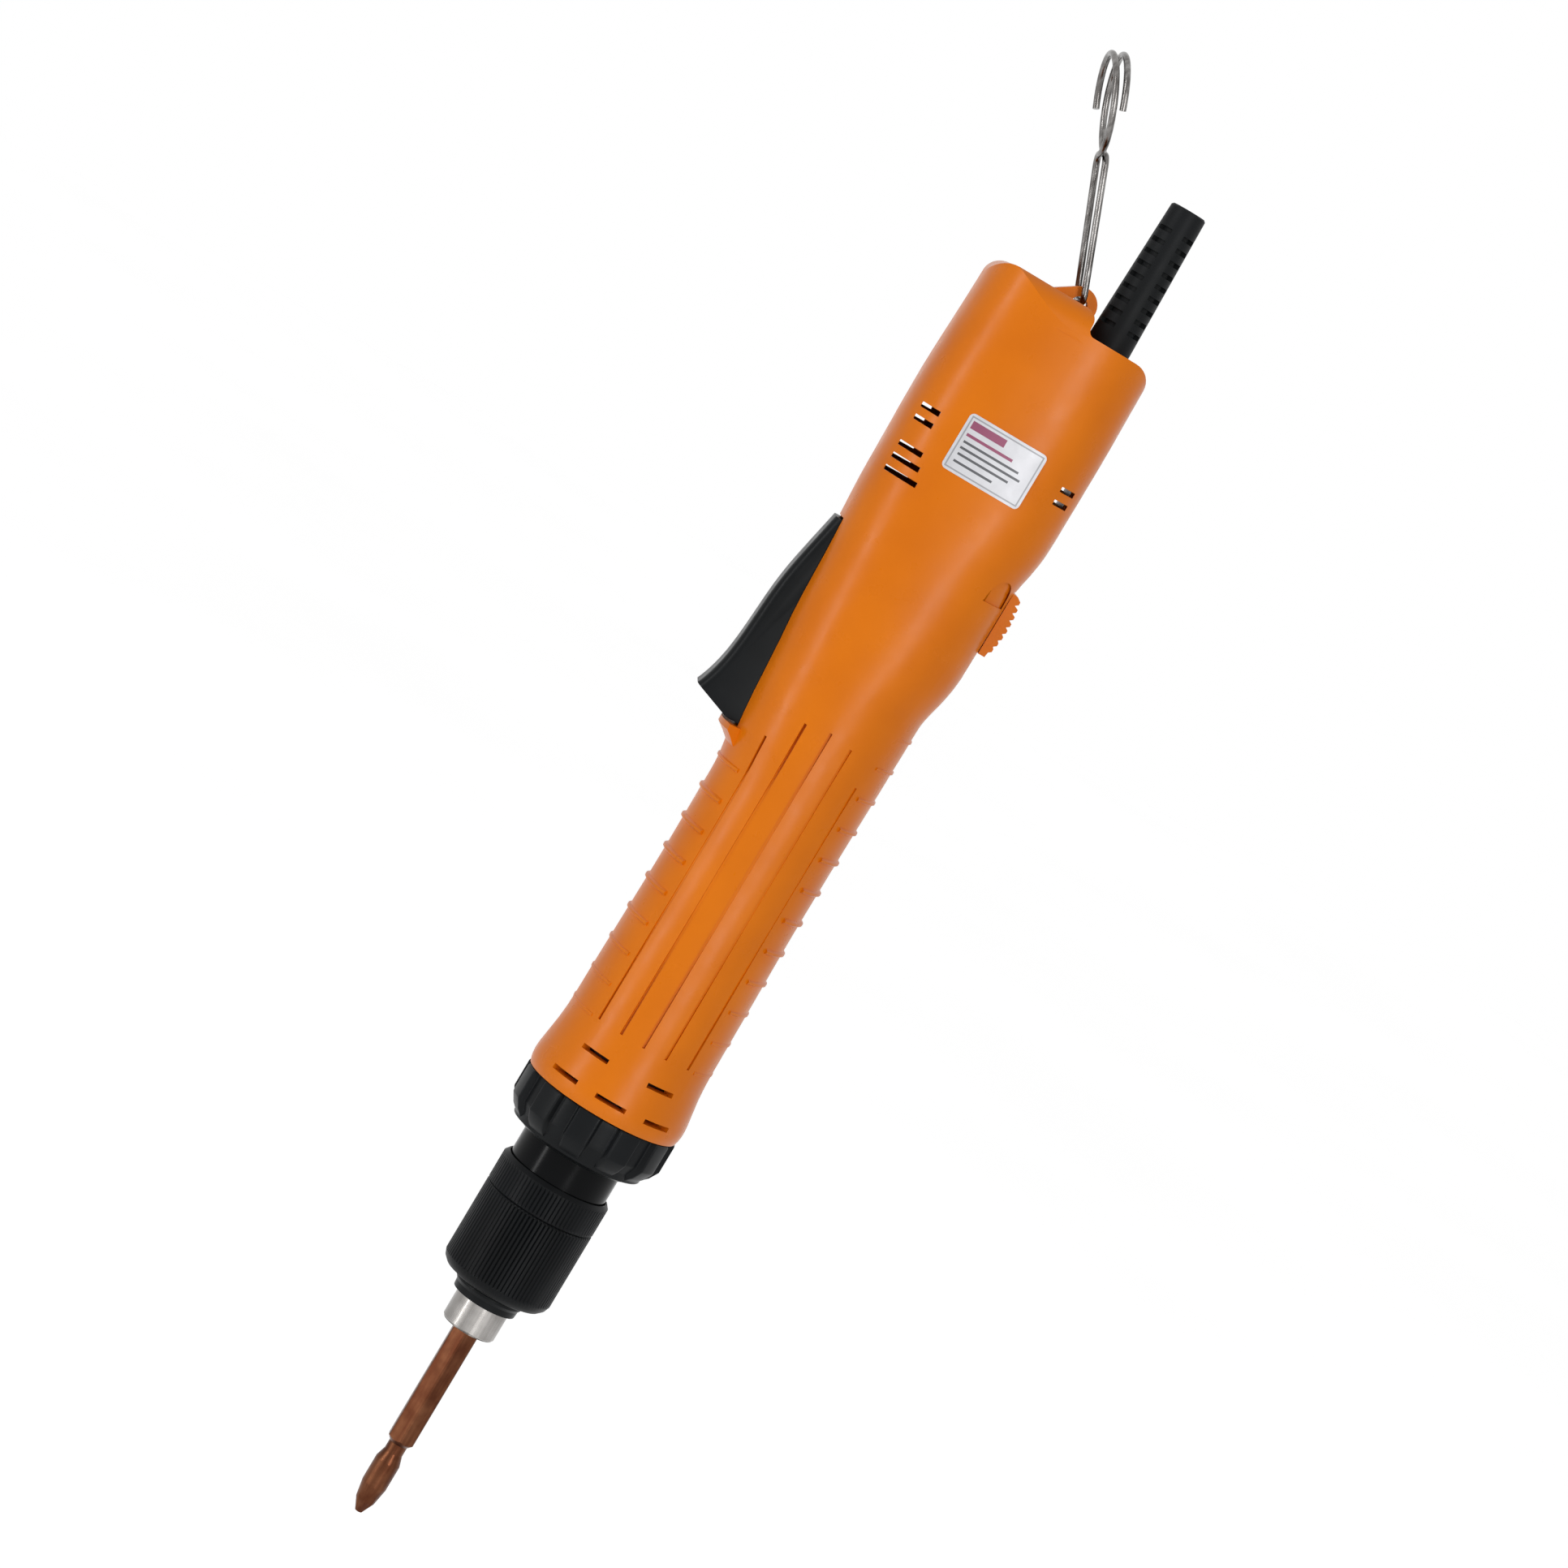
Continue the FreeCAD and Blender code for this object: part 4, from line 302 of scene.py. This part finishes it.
def turned_metal(name, light, dark, rough, groove, depth, stretch):
    """Turned or drawn metal: fine tool lines that streak both the colour and the gloss."""
    material, tree, shader, place = new_material(name)
    lines = noise(tree, place, groove, 3.0, stretch)
    stain = noise(tree, place, 5 * MM, 3.0)
    mixed = add_node(tree, "Math", {"operation": "MULTIPLY"}, {0: lines, 1: stain}).outputs[0]
    feed(tree, shader, {
        "Base Color": ramp(tree, mixed, [(0.15, dark), (0.4, light)]),
        "Metallic": 1.0,
        "Roughness": ramp(tree, lines, [(0.3, grey(rough - 0.06)), (0.7, grey(rough + 0.1))]),
        "Normal": bump(tree, lines, depth),
    })
    return material


def make_materials():
    """Every finish of the tool, by a short key."""
    paint = bpy.context.scene.driver_paint
    orange = (*paint.housing_colour, 1.0)
    orange_dark = (*paint.housing_shade, 1.0)
    black = (*paint.black_colour, 1.0)
    made = {}
    # Injection-moulded ABS of the housing: satin orange that throws broad soft highlights
    made["abs"] = moulded_plastic("ABS, satin moulded, orange", orange, orange_dark, rough=0.3,
                                  grain=0.7 * MM, depth=0.004 * MM, specular=0.2)
    # Glass-filled nylon of the nut, lever and cap: near black with a dull sheen
    made["nylon"] = moulded_plastic("glass-filled nylon, moulded, black", black, linear("#0D0F10"),
                                    rough=0.34, grain=0.6 * MM, depth=0.006 * MM, specular=0.11)
    # Nylon of the knurled rings: darker, with the sheen broken up by the ridges
    made["knurled"] = moulded_plastic("nylon, knurled, black", linear("#0F1113"), linear("#0A0B0C"),
                                      rough=0.4, grain=0.6 * MM, depth=0.01 * MM, specular=0.1)
    # Polished acetal neck: narrow lines of light run along it
    made["acetal"] = moulded_plastic("acetal, polished, black", linear("#090A0C"), linear("#060708"),
                                     rough=0.16, grain=2.0 * MM, depth=0.001 * MM, specular=0.08)
    # Soft PVC of the boot: matt black with hardly any sheen
    made["pvc"] = moulded_plastic("soft PVC, moulded, black", linear("#111315"), linear("#0B0D0E"),
                                  rough=0.5, grain=0.8 * MM, depth=0.015 * MM, specular=0.12)
    # Turned steel of the bit sleeve: grey with fine rings and bright bands along the axis
    made["steel"] = turned_metal("steel, turned, bright", linear("#A8A5A2"), linear("#8A8784"), rough=0.26,
                                 groove=1.2 * MM, depth=0.0005 * MM, stretch=(1, 1, 0.03))
    # Spring wire of the hook: bright drawn wire with dark streaks along it
    made["wire"] = turned_metal("stainless spring wire, drawn", linear("#8E8C8A"), linear("#5E5B59"),
                                rough=0.2, groove=1.0 * MM, depth=0.001 * MM, stretch=(1, 1, 0.05))
    # Bronzed tool steel of the bit: warm brown that turns redder where the coating is thick
    made["bronzed"] = turned_metal("tool steel, bronze coated", linear("#6E4630"), linear("#4E2B1C"),
                                   rough=0.34, groove=1.5 * MM, depth=0.001 * MM, stretch=(1, 1, 0.1))
    # Machined steel of gears and shafts: mid grey with fine tool lines
    made["machined"] = turned_metal("steel, machined", linear("#9C9CA0"), linear("#6C6C70"), rough=0.32,
                                    groove=0.4 * MM, depth=0.004 * MM, stretch=(1, 1, 0.3))
    # Black-oxide steel of the gear case and motor can: dark from its oxide, with a dark red-brown tint that
    # is painted shade for the view behind the vents
    made["blackened"] = turned_metal("steel, black oxide, painted vent shade", linear("#33201A"), linear("#1F1411"), rough=0.45,
                                     groove=0.6 * MM, depth=0.001 * MM, stretch=(1, 1, 0.2))
    # Sintered bronze of the bushes: dull yellow-brown with open pores
    made["bronze"] = turned_metal("bronze, sintered", linear("#A98A58"), linear("#7A6038"), rough=0.5,
                                  groove=0.3 * MM, depth=0.01 * MM, stretch=(1, 1, 1))
    # Stacked motor iron: grey sheets seen as fine rings along the axis
    made["iron"] = turned_metal("electrical steel, laminated", linear("#6A6C70"), linear("#3F4145"),
                                rough=0.45, groove=0.5 * MM, depth=0.02 * MM, stretch=(0.02, 0.02, 1))
    # Enamelled copper wire: orange-brown strands with a lacquer shine
    made["copper"] = turned_metal("copper wire, enamelled", linear("#B4683C"), linear("#7A3C1E"), rough=0.3,
                                  groove=0.5 * MM, depth=0.03 * MM, stretch=(1, 1, 0.15))
    # Ground ferrite magnet: almost black and dull
    made["ferrite"] = moulded_plastic("ferrite, ground", linear("#2B2C2E"), linear("#1C1D1F"), rough=0.5,
                                      grain=0.4 * MM, depth=0.01 * MM)
    # Glass-epoxy circuit board: green lacquer over a faint woven cloth
    made["board"] = moulded_plastic("glass epoxy board, lacquered", linear("#1E5A34"), linear("#164427"),
                                    rough=0.3, grain=0.9 * MM, depth=0.01 * MM, coat=0.4)
    # Moulded cases of the electronic parts: charcoal with a fine matt grain
    made["case"] = moulded_plastic("epoxy moulding compound", linear("#2A2C30"), linear("#1D1F22"),
                                   rough=0.5, grain=0.4 * MM, depth=0.01 * MM)
    return made


def label_material(settings):
    """Silvered polyester label: satin pale film with a thin border and plain printed rules."""
    material, tree, shader, place = new_material("polyester film label, printed")
    middle = (0.0, 0.0, -settings.height_z)
    moved = add_node(tree, "Mapping", (), {"Vector": place, "Location": middle}).outputs[0]
    parts = add_node(tree, "SeparateXYZ", (), {"Vector": moved})
    x, z = parts.outputs["X"], parts.outputs["Z"]

    def box_mask(centre_x, centre_z, half_x, half_z):
        """One inside an upright box on the label and zero outside it."""
        masks = []
        for coordinate, centre, half in ((x, centre_x, half_x), (z, centre_z, half_z)):
            masks.append(add_node(tree, "Math", {"operation": "COMPARE"},
                                  {0: coordinate, 1: centre, 2: half}).outputs[0])
        return add_node(tree, "Math", {"operation": "MULTIPLY"}, {0: masks[0], 1: masks[1]}).outputs[0]

    half_x, half_z = settings.width / 2, settings.length / 2
    film = ramp(tree, noise(tree, place, 3 * MM, 3.0),
                [(0.3, linear("#C6C6CA")), (0.7, linear("#D2D2D6"))])
    line = 0.35 * MM
    inset = 0.6 * MM
    outer = box_mask(0, 0, half_x - inset, half_z - inset)
    inner = box_mask(0, 0, half_x - inset - line, half_z - inset - line)
    border = add_node(tree, "Math", {"operation": "SUBTRACT"}, {0: outer, 1: inner}).outputs[0]
    colour = add_node(tree, "Mix", {"data_type": "RGBA"},
                      {0: border, 6: film, 7: linear("#9A9A9E")}).outputs[2]
    # Middle across and up, half length and half thickness in millimetres, and ink
    rules = [(-4.3, 4.6, 4.4, 0.95, "#8E4A66"), (-2.6, 2.1, 6.0, 0.35, "#8E4A66"),
             (-1.2, 0.4, 7.2, 0.28, "#55565A"), (-0.6, -1.1, 7.8, 0.28, "#55565A"),
             (-1.6, -2.6, 6.6, 0.28, "#55565A"), (-3.2, -4.4, 5.0, 0.28, "#55565A")]
    for centre_x, centre_z, length, thick, ink in rules:
        mask = box_mask(centre_x * MM, centre_z * MM, length * MM, thick * MM)
        colour = add_node(tree, "Mix", {"data_type": "RGBA"},
                          {0: mask, 6: colour, 7: linear(ink)}).outputs[2]
    feed(tree, shader, {
        "Base Color": colour,
        "Roughness": ramp(tree, noise(tree, place, 1.5 * MM, 2.0),
                          [(0.3, grey(0.36)), (0.7, grey(0.46))]),
        "Metallic": 0.15,
        "Normal": bump(tree, noise(tree, place, 1.2 * MM, 2.0), 0.004 * MM),
    })
    return material


# Settings

class StageSettings(PropertyGroup):
    azimuth: FloatProperty(name="Azimuth", description="Turn of the camera round the tool", unit="ROTATION",
                           default=math.radians(-5.0))
    elevation: FloatProperty(name="Elevation", description="Height of the camera as an angle",
                             unit="ROTATION", default=math.radians(6.0))
    roll: FloatProperty(name="Roll", description="Tilt of the camera about its own line of sight",
                        unit="ROTATION", default=math.radians(30.87))
    distance: FloatProperty(name="Distance", description="Camera to tool", unit="LENGTH", default=1.10)
    lens: FloatProperty(name="Lens", description="Focal length in millimetres", default=108.7)
    aim_x: FloatProperty(name="Aim across", description="Where the line of sight meets the tool",
                         unit="LENGTH", default=-1.75 * MM)
    aim_z: FloatProperty(name="Aim height", description="Height at which the line of sight meets the tool",
                         unit="LENGTH", default=149 * MM)
    floor_z: FloatProperty(name="Floor height", description="Height of the pale floor", unit="LENGTH",
                           default=-0.30)
    ambient: FloatProperty(name="Ambient", description="Brightness of the surroundings", default=0.3)
    key_power: FloatProperty(name="Key lamp", description="Power of the narrow lamp on the left",
                             unit="POWER", default=6.5)
    fill_power: FloatProperty(name="Fill lamp", description="Power of the wider lamp in front",
                              unit="POWER", default=8.0)


class PaintSettings(PropertyGroup):
    housing_colour: FloatVectorProperty(name="Housing", description="Colour of the moulded housing",
                                        subtype="COLOR", min=0, max=1, default=linear("#DE7608")[:3])
    housing_shade: FloatVectorProperty(name="Housing shade", description="Darker cloud of the housing colour",
                                       subtype="COLOR", min=0, max=1, default=linear("#D66F06")[:3])
    black_colour: FloatVectorProperty(name="Black parts", description="Colour of the black mouldings",
                                      subtype="COLOR", min=0, max=1, default=linear("#121416")[:3])


class CollarSettings(PropertyGroup):
    ridges: IntProperty(name="Ridges", description="Knurled ridges round the collar", default=84, min=24)
    depth: FloatProperty(name="Knurl depth", description="Depth of the knurling", unit="LENGTH",
                         default=0.32 * MM)
    radius: FloatProperty(name="Radius", description="Outer radius of collar and lock ring", unit="LENGTH",
                          default=span("torque_collar", 0)[1])


class NutSettings(PropertyGroup):
    grips: IntProperty(name="Grips", description="Notches round the nut", default=11, min=4)
    grip_depth: FloatProperty(name="Notch depth", description="Depth of each notch", unit="LENGTH",
                              default=1.6 * MM)
    radius: FloatProperty(name="Radius", description="Outer radius of the nut", unit="LENGTH",
                          default=span("coupling_nut", 0)[1])


class LabelSettings(PropertyGroup):
    width: FloatProperty(name="Width", description="Label size across the tool", unit="LENGTH",
                         default=20.2 * MM)
    length: FloatProperty(name="Length", description="Label size along the tool", unit="LENGTH",
                          default=14.1 * MM)
    height_z: FloatProperty(name="Height", description="Middle of the label above the nose", unit="LENGTH",
                            default=238.6 * MM)
    corner: FloatProperty(name="Corner", description="Corner radius", unit="LENGTH", default=1.2 * MM)
    thickness: FloatProperty(name="Thickness", description="Thickness of the film", unit="LENGTH",
                             default=0.12 * MM)


# Operators

MADE = {}


class DriverMaterials(Operator):
    """Makes every finish of the tool"""
    bl_idname = "driver.materials"
    bl_label = "Materials"

    def execute(self, context):
        MADE.update(make_materials())
        return {"FINISHED"}


class DriverHousing(Operator):
    """Finishes the housing halves, screws and knob, and models the walls beside the knob"""
    bl_idname = "driver.housing"
    bl_label = "Housing"

    def execute(self, context):
        finish_nodes(MADE["abs"], "front_housing_half", "back_housing_half", "direction_knob")
        finish_nodes(MADE["machined"], "housing_screws", "lever_pin")
        # The moulded wall beside the knob, where the head begins above the saddle: skin and inside in mm
        skin = [(20.3, 7.0), (19.68, 8.0), (19.2, 9.0), (18.66, 10.0), (18.02, 11.0), (17.3, 12.0),
                (16.37, 13.0), (15.0, 14.2)]
        inside = [(13.4, 13.4), (15.8, 11.0), (17.4, 8.6), (18.2, 7.0)]
        foot, brow, top = 208.6 * MM, 213.6 * MM, 216.9 * MM
        for side, end in (("front", -1), ("back", 1)):
            outline = [(x * MM, end * y * MM) for x, y in skin + inside]
            levels = [(foot, 0, 0), (brow, 0.02 * MM, 0), (top, 0.75 * MM, end * 0.2 * MM)]
            wall = column("housing_wall_" + side, outline, levels)
            settle(wall, 30)
            fit(wall, "casing", MADE["abs"])
        return {"FINISHED"}


class DriverCollar(Operator):
    """Models the knurled torque collar and the knurled lock ring above it"""
    bl_idname = "driver.collar"
    bl_label = "Torque collar"

    def execute(self, context):
        settings = context.scene.driver_collar
        steps = RIDGE_STEPS * settings.ridges
        radius = settings.radius
        low, high = span("torque_collar", 2)
        spigot, spigot_radius = 1.3 * MM, 12.6 * MM
        top = high - spigot
        edge = 3.2 * MM
        thread = 11.3 * MM
        lip, lip_low, lip_high = 8.25 * MM, low + 1.0 * MM, low + 2.4 * MM
        mouth = 9.1 * MM
        outline = [(mouth, low), (radius - edge - 0.9 * MM, low), (radius - 0.48 * edge, low + 0.27 * edge),
                   (radius - 0.15 * edge, low + 0.6 * edge), (radius, low + edge),
                   (radius, low + edge + 0.6 * MM),
                   (radius, top - 1.0 * MM), (radius, top - 0.35 * MM), (radius - 0.3 * MM, top),
                   (spigot_radius, top), (spigot_radius, high), (thread, high),
                   (thread, lip_high), (lip, lip_high), (lip, lip_low), (mouth, lip_low)]
        collar = lathe("torque_collar_knurled", outline, steps)
        knurl(collar, steps, radius, low + edge + 0.3 * MM, top - 0.2 * MM, settings.depth)
        settle(collar, KNURL_ANGLE)
        fit(collar, "collar", MADE["knurled"], ["torque_collar"])

        low, high = span("lock_ring", 2)
        inner = 12.95 * MM
        outline = [(inner, low), (radius - 0.35 * MM, low), (radius, low + 0.35 * MM),
                   (radius, low + 1.0 * MM), (radius, high - 1.9 * MM), (radius, high - 1.0 * MM),
                   (radius - 0.8 * MM, high), (inner, high)]
        ring = lathe("lock_ring_knurled", outline, steps)
        knurl(ring, steps, radius, low + 0.5 * MM, high - 1.4 * MM, settings.depth)
        settle(ring, KNURL_ANGLE)
        fit(ring, "collar", MADE["knurled"], ["lock_ring"])
        return {"FINISHED"}


class DriverNut(Operator):
    """Models the castellated coupling nut"""
    bl_idname = "driver.nut"
    bl_label = "Coupling nut"

    def execute(self, context):
        settings = context.scene.driver_nut
        radius = settings.radius
        low, high = span("coupling_nut", 2)
        edge = 3.4 * MM
        thread = 17.0 * MM
        lip = 12.95 * MM
        wall = low + 1.2 * MM
        steps = settings.grips * GRIP_STEPS
        outline = [(lip, low), (radius - 1.75 * edge, low), (radius - edge, low + 0.4 * edge),
                   (radius - 0.4 * edge, low + edge), (radius, low + 1.7 * edge),
                   (radius, low + 2.1 * edge), (radius, high - 2.6 * MM), (radius, high - 2.0 * MM),
                   (radius, high - 0.4 * MM), (radius - 0.4 * MM, high), (thread, high),
                   (thread, wall), (lip, wall)]
        nut = lathe("coupling_nut_moulded", outline, steps)
        floor_radius = radius - settings.grip_depth
        half_notch = 4.6    # steps from the middle of a notch to its side

        def in_notch(vertex):
            """Whether a vertex stands on the outside, inside the width of a notch."""
            turn = (turn_of(vertex.co, steps) - GRIP_STEPS // 2) % GRIP_STEPS
            off = min(turn, GRIP_STEPS - turn)
            return off < half_notch and vertex.co.xy.length > floor_radius + 0.01 * MM

        pick(nut, in_notch)
        share = floor_radius / radius
        bpy.ops.transform.resize(value=(share, share, 1), center_override=(0, 0, 0))
        bpy.ops.object.mode_set(mode="OBJECT")
        bevel(nut, 0.22 * MM, 2, 24)
        settle(nut, 40)
        fit(nut, "casing", MADE["nylon"], ["coupling_nut"])
        return {"FINISHED"}


class DriverNose(Operator):
    """Finishes the polished neck, the nose cap, the steel sleeve and the bit"""
    bl_idname = "driver.nose"
    bl_label = "Nose and bit"

    def execute(self, context):
        finish_nodes(MADE["acetal"], "clutch_housing")
        finish_nodes(MADE["nylon"], "nose_cap")
        finish_nodes(MADE["steel"], "bit_sleeve", "retaining_ring")
        finish_nodes(MADE["bronzed"], "screwdriver_bit")
        finish_nodes(MADE["machined"], "spindle", "lock_balls", "push_pins", "thrust_washer", "clutch_balls",
                     "clutch_plate")
        finish_nodes(MADE["bronze"], "front_bush", "rear_bush")
        finish_nodes(MADE["wire"], "sleeve_spring", "clutch_spring", "lever_spring")
        return {"FINISHED"}


class DriverLever(Operator):
    """Rounds and finishes the start lever"""
    bl_idname = "driver.lever"
    bl_label = "Start lever"

    def execute(self, context):
        lever = merged_copy("start_lever_rounded", "start_lever")
        bevel(lever, 0.6 * MM, 4, 28)
        settle(lever, 40)
        fit(lever, "lever", MADE["nylon"], ["start_lever"])
        return {"FINISHED"}


class DriverBoot(Operator):
    """Finishes the cord boot"""
    bl_idname = "driver.boot"
    bl_label = "Cord boot"

    def execute(self, context):
        finish_nodes(MADE["pvc"], "strain_relief_boot")
        return {"FINISHED"}


class DriverHook(Operator):
    """Finishes the suspension hook"""
    bl_idname = "driver.hook"
    bl_label = "Suspension hook"

    def execute(self, context):
        finish_nodes(MADE["wire"], "suspension_hook")
        return {"FINISHED"}


class DriverLabel(Operator):
    """Models the bare rating label on the front of the head"""
    bl_idname = "driver.label"
    bl_label = "Label"

    def execute(self, context):
        settings = context.scene.driver_label
        front = span("front_housing_half", 1)[0]
        bpy.ops.object.select_all(action="DESELECT")
        bpy.ops.mesh.primitive_plane_add(size=1, location=(0, front - 2 * MM, settings.height_z),
                                         rotation=(math.pi / 2, 0, 0))
        label = bpy.context.object
        label.name = "rating_label"
        label.scale = (settings.width, settings.length, 1)
        bpy.ops.object.transform_apply(location=True, rotation=True, scale=True)
        bpy.ops.object.mode_set(mode="EDIT")
        bpy.ops.mesh.select_mode(type="VERT")
        bpy.ops.mesh.select_all(action="SELECT")
        bpy.ops.mesh.bevel(offset=settings.corner, segments=6, affect="VERTICES")
        strips = 24
        for index in range(1, strips):
            share = index / strips - 0.5
            bpy.ops.mesh.select_all(action="SELECT")
            bpy.ops.mesh.bisect(plane_co=(settings.width * share, 0, 0), plane_no=(1, 0, 0))
            bpy.ops.mesh.select_all(action="SELECT")
            level = settings.height_z + settings.length * share
            bpy.ops.mesh.bisect(plane_co=(0, 0, level), plane_no=(0, 0, 1))
        bpy.ops.object.mode_set(mode="OBJECT")
        wrap = label.modifiers.new("laid on the shell", "SHRINKWRAP")
        wrap.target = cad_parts["front_housing_half"]
        wrap.wrap_method = "PROJECT"
        wrap.use_project_y = True
        wrap.use_positive_direction = True
        wrap.use_negative_direction = False
        wrap.offset = 0.03 * MM
        apply_all(label)
        solid = label.modifiers.new("film", "SOLIDIFY")
        solid.thickness = settings.thickness
        solid.offset = 1.0
        apply_all(label)
        settle(label, 40)
        fit(label, "casing", label_material(settings))
        return {"FINISHED"}


class DriverInside(Operator):
    """Finishes the gears, the motor and the electronics"""
    bl_idname = "driver.inside"
    bl_label = "Drive train and electronics"

    def execute(self, context):
        planets = ["%s_planet_%d" % (stage, number)
                   for stage in ("output", "input") for number in (1, 2, 3)]
        finish_nodes(MADE["machined"], "ring_gear", "output_carrier", "input_carrier", "front_motor_bearing",
                     "rear_motor_bearing", "motor_shaft", *planets)
        # The gear case, motor can and end bell take the dark steel, whose red-brown tint is painted shade
        # behind the vents
        finish_nodes(MADE["blackened"], "gear_case", "motor_can", "motor_end_bell")
        finish_nodes(MADE["iron"], "stator_core")
        finish_nodes(MADE["copper"], "stator_windings")
        finish_nodes(MADE["ferrite"], "rotor_magnet")
        finish_nodes(MADE["board"], "controller_board")
        finish_nodes(MADE["case"], "board_parts", "start_switch", "direction_switch")
        return {"FINISHED"}


def strip_lamp(name, azimuth, elevation, distance, width, height, power, aim):
    """An upright rectangular lamp at an angle round the tool, facing it."""
    data = bpy.data.lights.new(name, "AREA")
    data.shape = "RECTANGLE"
    data.size = width
    data.size_y = height
    data.energy = power
    lamp = bpy.data.objects.new(name, data)
    bpy.context.scene.collection.objects.link(lamp)
    a, e = math.radians(azimuth), math.radians(elevation)
    away = Vector((math.sin(a) * math.cos(e), -math.cos(a) * math.cos(e), math.sin(e)))
    lamp.location = aim + away * distance
    lamp.rotation_euler = (-away).to_track_quat("-Z", "Y").to_euler()
    return lamp


def seen_rays(tree):
    """One for the rays of the camera, of reflections and through glass, and zero for the others."""
    path = add_node(tree, "LightPath")
    mirrored = add_node(tree, "Math", {"operation": "MAXIMUM"},
                        {0: path.outputs["Is Glossy Ray"], 1: path.outputs["Is Transmission Ray"]}).outputs[0]
    return add_node(tree, "Math", {"operation": "MAXIMUM"},
                    {0: path.outputs["Is Camera Ray"], 1: mirrored}).outputs[0]


def pale_surface(name, lift):
    """Matt pale paint that looks white to the camera and in reflections, and still takes a shadow."""
    material, tree, shader, place = new_material(name)
    feed(tree, shader, {
        "Base Color": ramp(tree, noise(tree, place, 0.4, 2.0), [(0.3, grey(0.86)), (0.7, grey(0.9))]),
        "Roughness": 0.9,
        "Specular IOR Level": 0.2,
        "Emission Color": grey(1.0),
    })
    glow = add_node(tree, "Math", {"operation": "MULTIPLY"}, {0: seen_rays(tree), 1: lift}).outputs[0]
    tree.links.new(glow, shader.inputs["Emission Strength"])
    return material


class DriverStage(Operator):
    """Builds the pale floor, the surroundings, the lamps and the camera"""
    bl_idname = "driver.stage"
    bl_label = "Stage"

    def execute(self, context):
        settings = context.scene.driver_stage
        aim = Vector((settings.aim_x, 0, settings.aim_z))
        bpy.ops.object.select_all(action="DESELECT")
        bpy.ops.mesh.primitive_grid_add(x_subdivisions=8, y_subdivisions=8, size=14,
                                        location=(0, 0, settings.floor_z))
        floor = bpy.context.object
        floor.name = "studio_floor"
        floor.data.materials.append(pale_surface("matt floor paint, rolled", 0.7))

        world = bpy.data.worlds.new("studio")
        context.scene.world = world
        world.use_nodes = True
        tree = world.node_tree
        tree.nodes.clear()
        level = add_node(tree, "Mix", {"data_type": "FLOAT"},
                         {0: seen_rays(tree), 2: settings.ambient, 3: 1.0}).outputs[0]
        back = add_node(tree, "Background", (), {"Color": grey(1.0), "Strength": level})
        add_node(tree, "OutputWorld", (), {"Surface": back.outputs[0]})

        strip_lamp("key strip", azimuth=-58, elevation=8, distance=1.2, width=0.09, height=1.5,
                   power=settings.key_power, aim=aim)
        strip_lamp("fill softbox", azimuth=20, elevation=14, distance=1.3, width=0.2, height=1.3,
                   power=settings.fill_power, aim=aim)

        data = bpy.data.cameras.new("product camera")
        data.lens = settings.lens
        data.sensor_width = 36
        data.clip_start, data.clip_end = 0.05, 50
        camera = bpy.data.objects.new("product camera", data)
        context.scene.collection.objects.link(camera)
        a, e = settings.azimuth, settings.elevation
        away = Vector((math.sin(a) * math.cos(e), -math.cos(a) * math.cos(e), math.sin(e)))
        camera.location = aim + away * settings.distance
        upright = (-away).to_track_quat("-Z", "Y").to_matrix()
        camera.rotation_euler = (upright @ Matrix.Rotation(settings.roll, 3, "Z")).to_euler()
        context.scene.camera = camera
        context.scene.view_settings.view_transform = "Standard"
        return {"FINISHED"}


PIECES = (DriverMaterials, DriverStage, DriverHousing, DriverCollar, DriverNut, DriverNose, DriverLever,
          DriverBoot, DriverHook, DriverLabel, DriverInside)
SETTINGS = {"driver_stage": StageSettings, "driver_paint": PaintSettings, "driver_collar": CollarSettings,
            "driver_nut": NutSettings, "driver_label": LabelSettings}


class VIEW3D_PT_driver(Panel):
    bl_label = "Torque screwdriver"
    bl_space_type = "VIEW_3D"
    bl_region_type = "UI"
    bl_category = "Driver"

    def draw(self, context):
        for piece in PIECES:
            self.layout.operator(piece.bl_idname)
        for name in SETTINGS:
            group = getattr(context.scene, name)
            box = self.layout.box()
            for key in group.bl_rna.properties.keys():
                if key not in ("rna_type", "name"):
                    box.prop(group, key)


def register():
    for made in (*SETTINGS.values(), *PIECES, VIEW3D_PT_driver):
        bpy.utils.register_class(made)
    for name, group in SETTINGS.items():
        setattr(bpy.types.Scene, name, PointerProperty(type=group))


def unregister():
    for name in SETTINGS:
        delattr(bpy.types.Scene, name)
    for made in reversed((*SETTINGS.values(), *PIECES, VIEW3D_PT_driver)):
        bpy.utils.unregister_class(made)


def main():
    register()
    for piece in PIECES:
        family, name = piece.bl_idname.split(".")
        getattr(getattr(bpy.ops, family), name)()


if __name__ == "__main__":
    main()
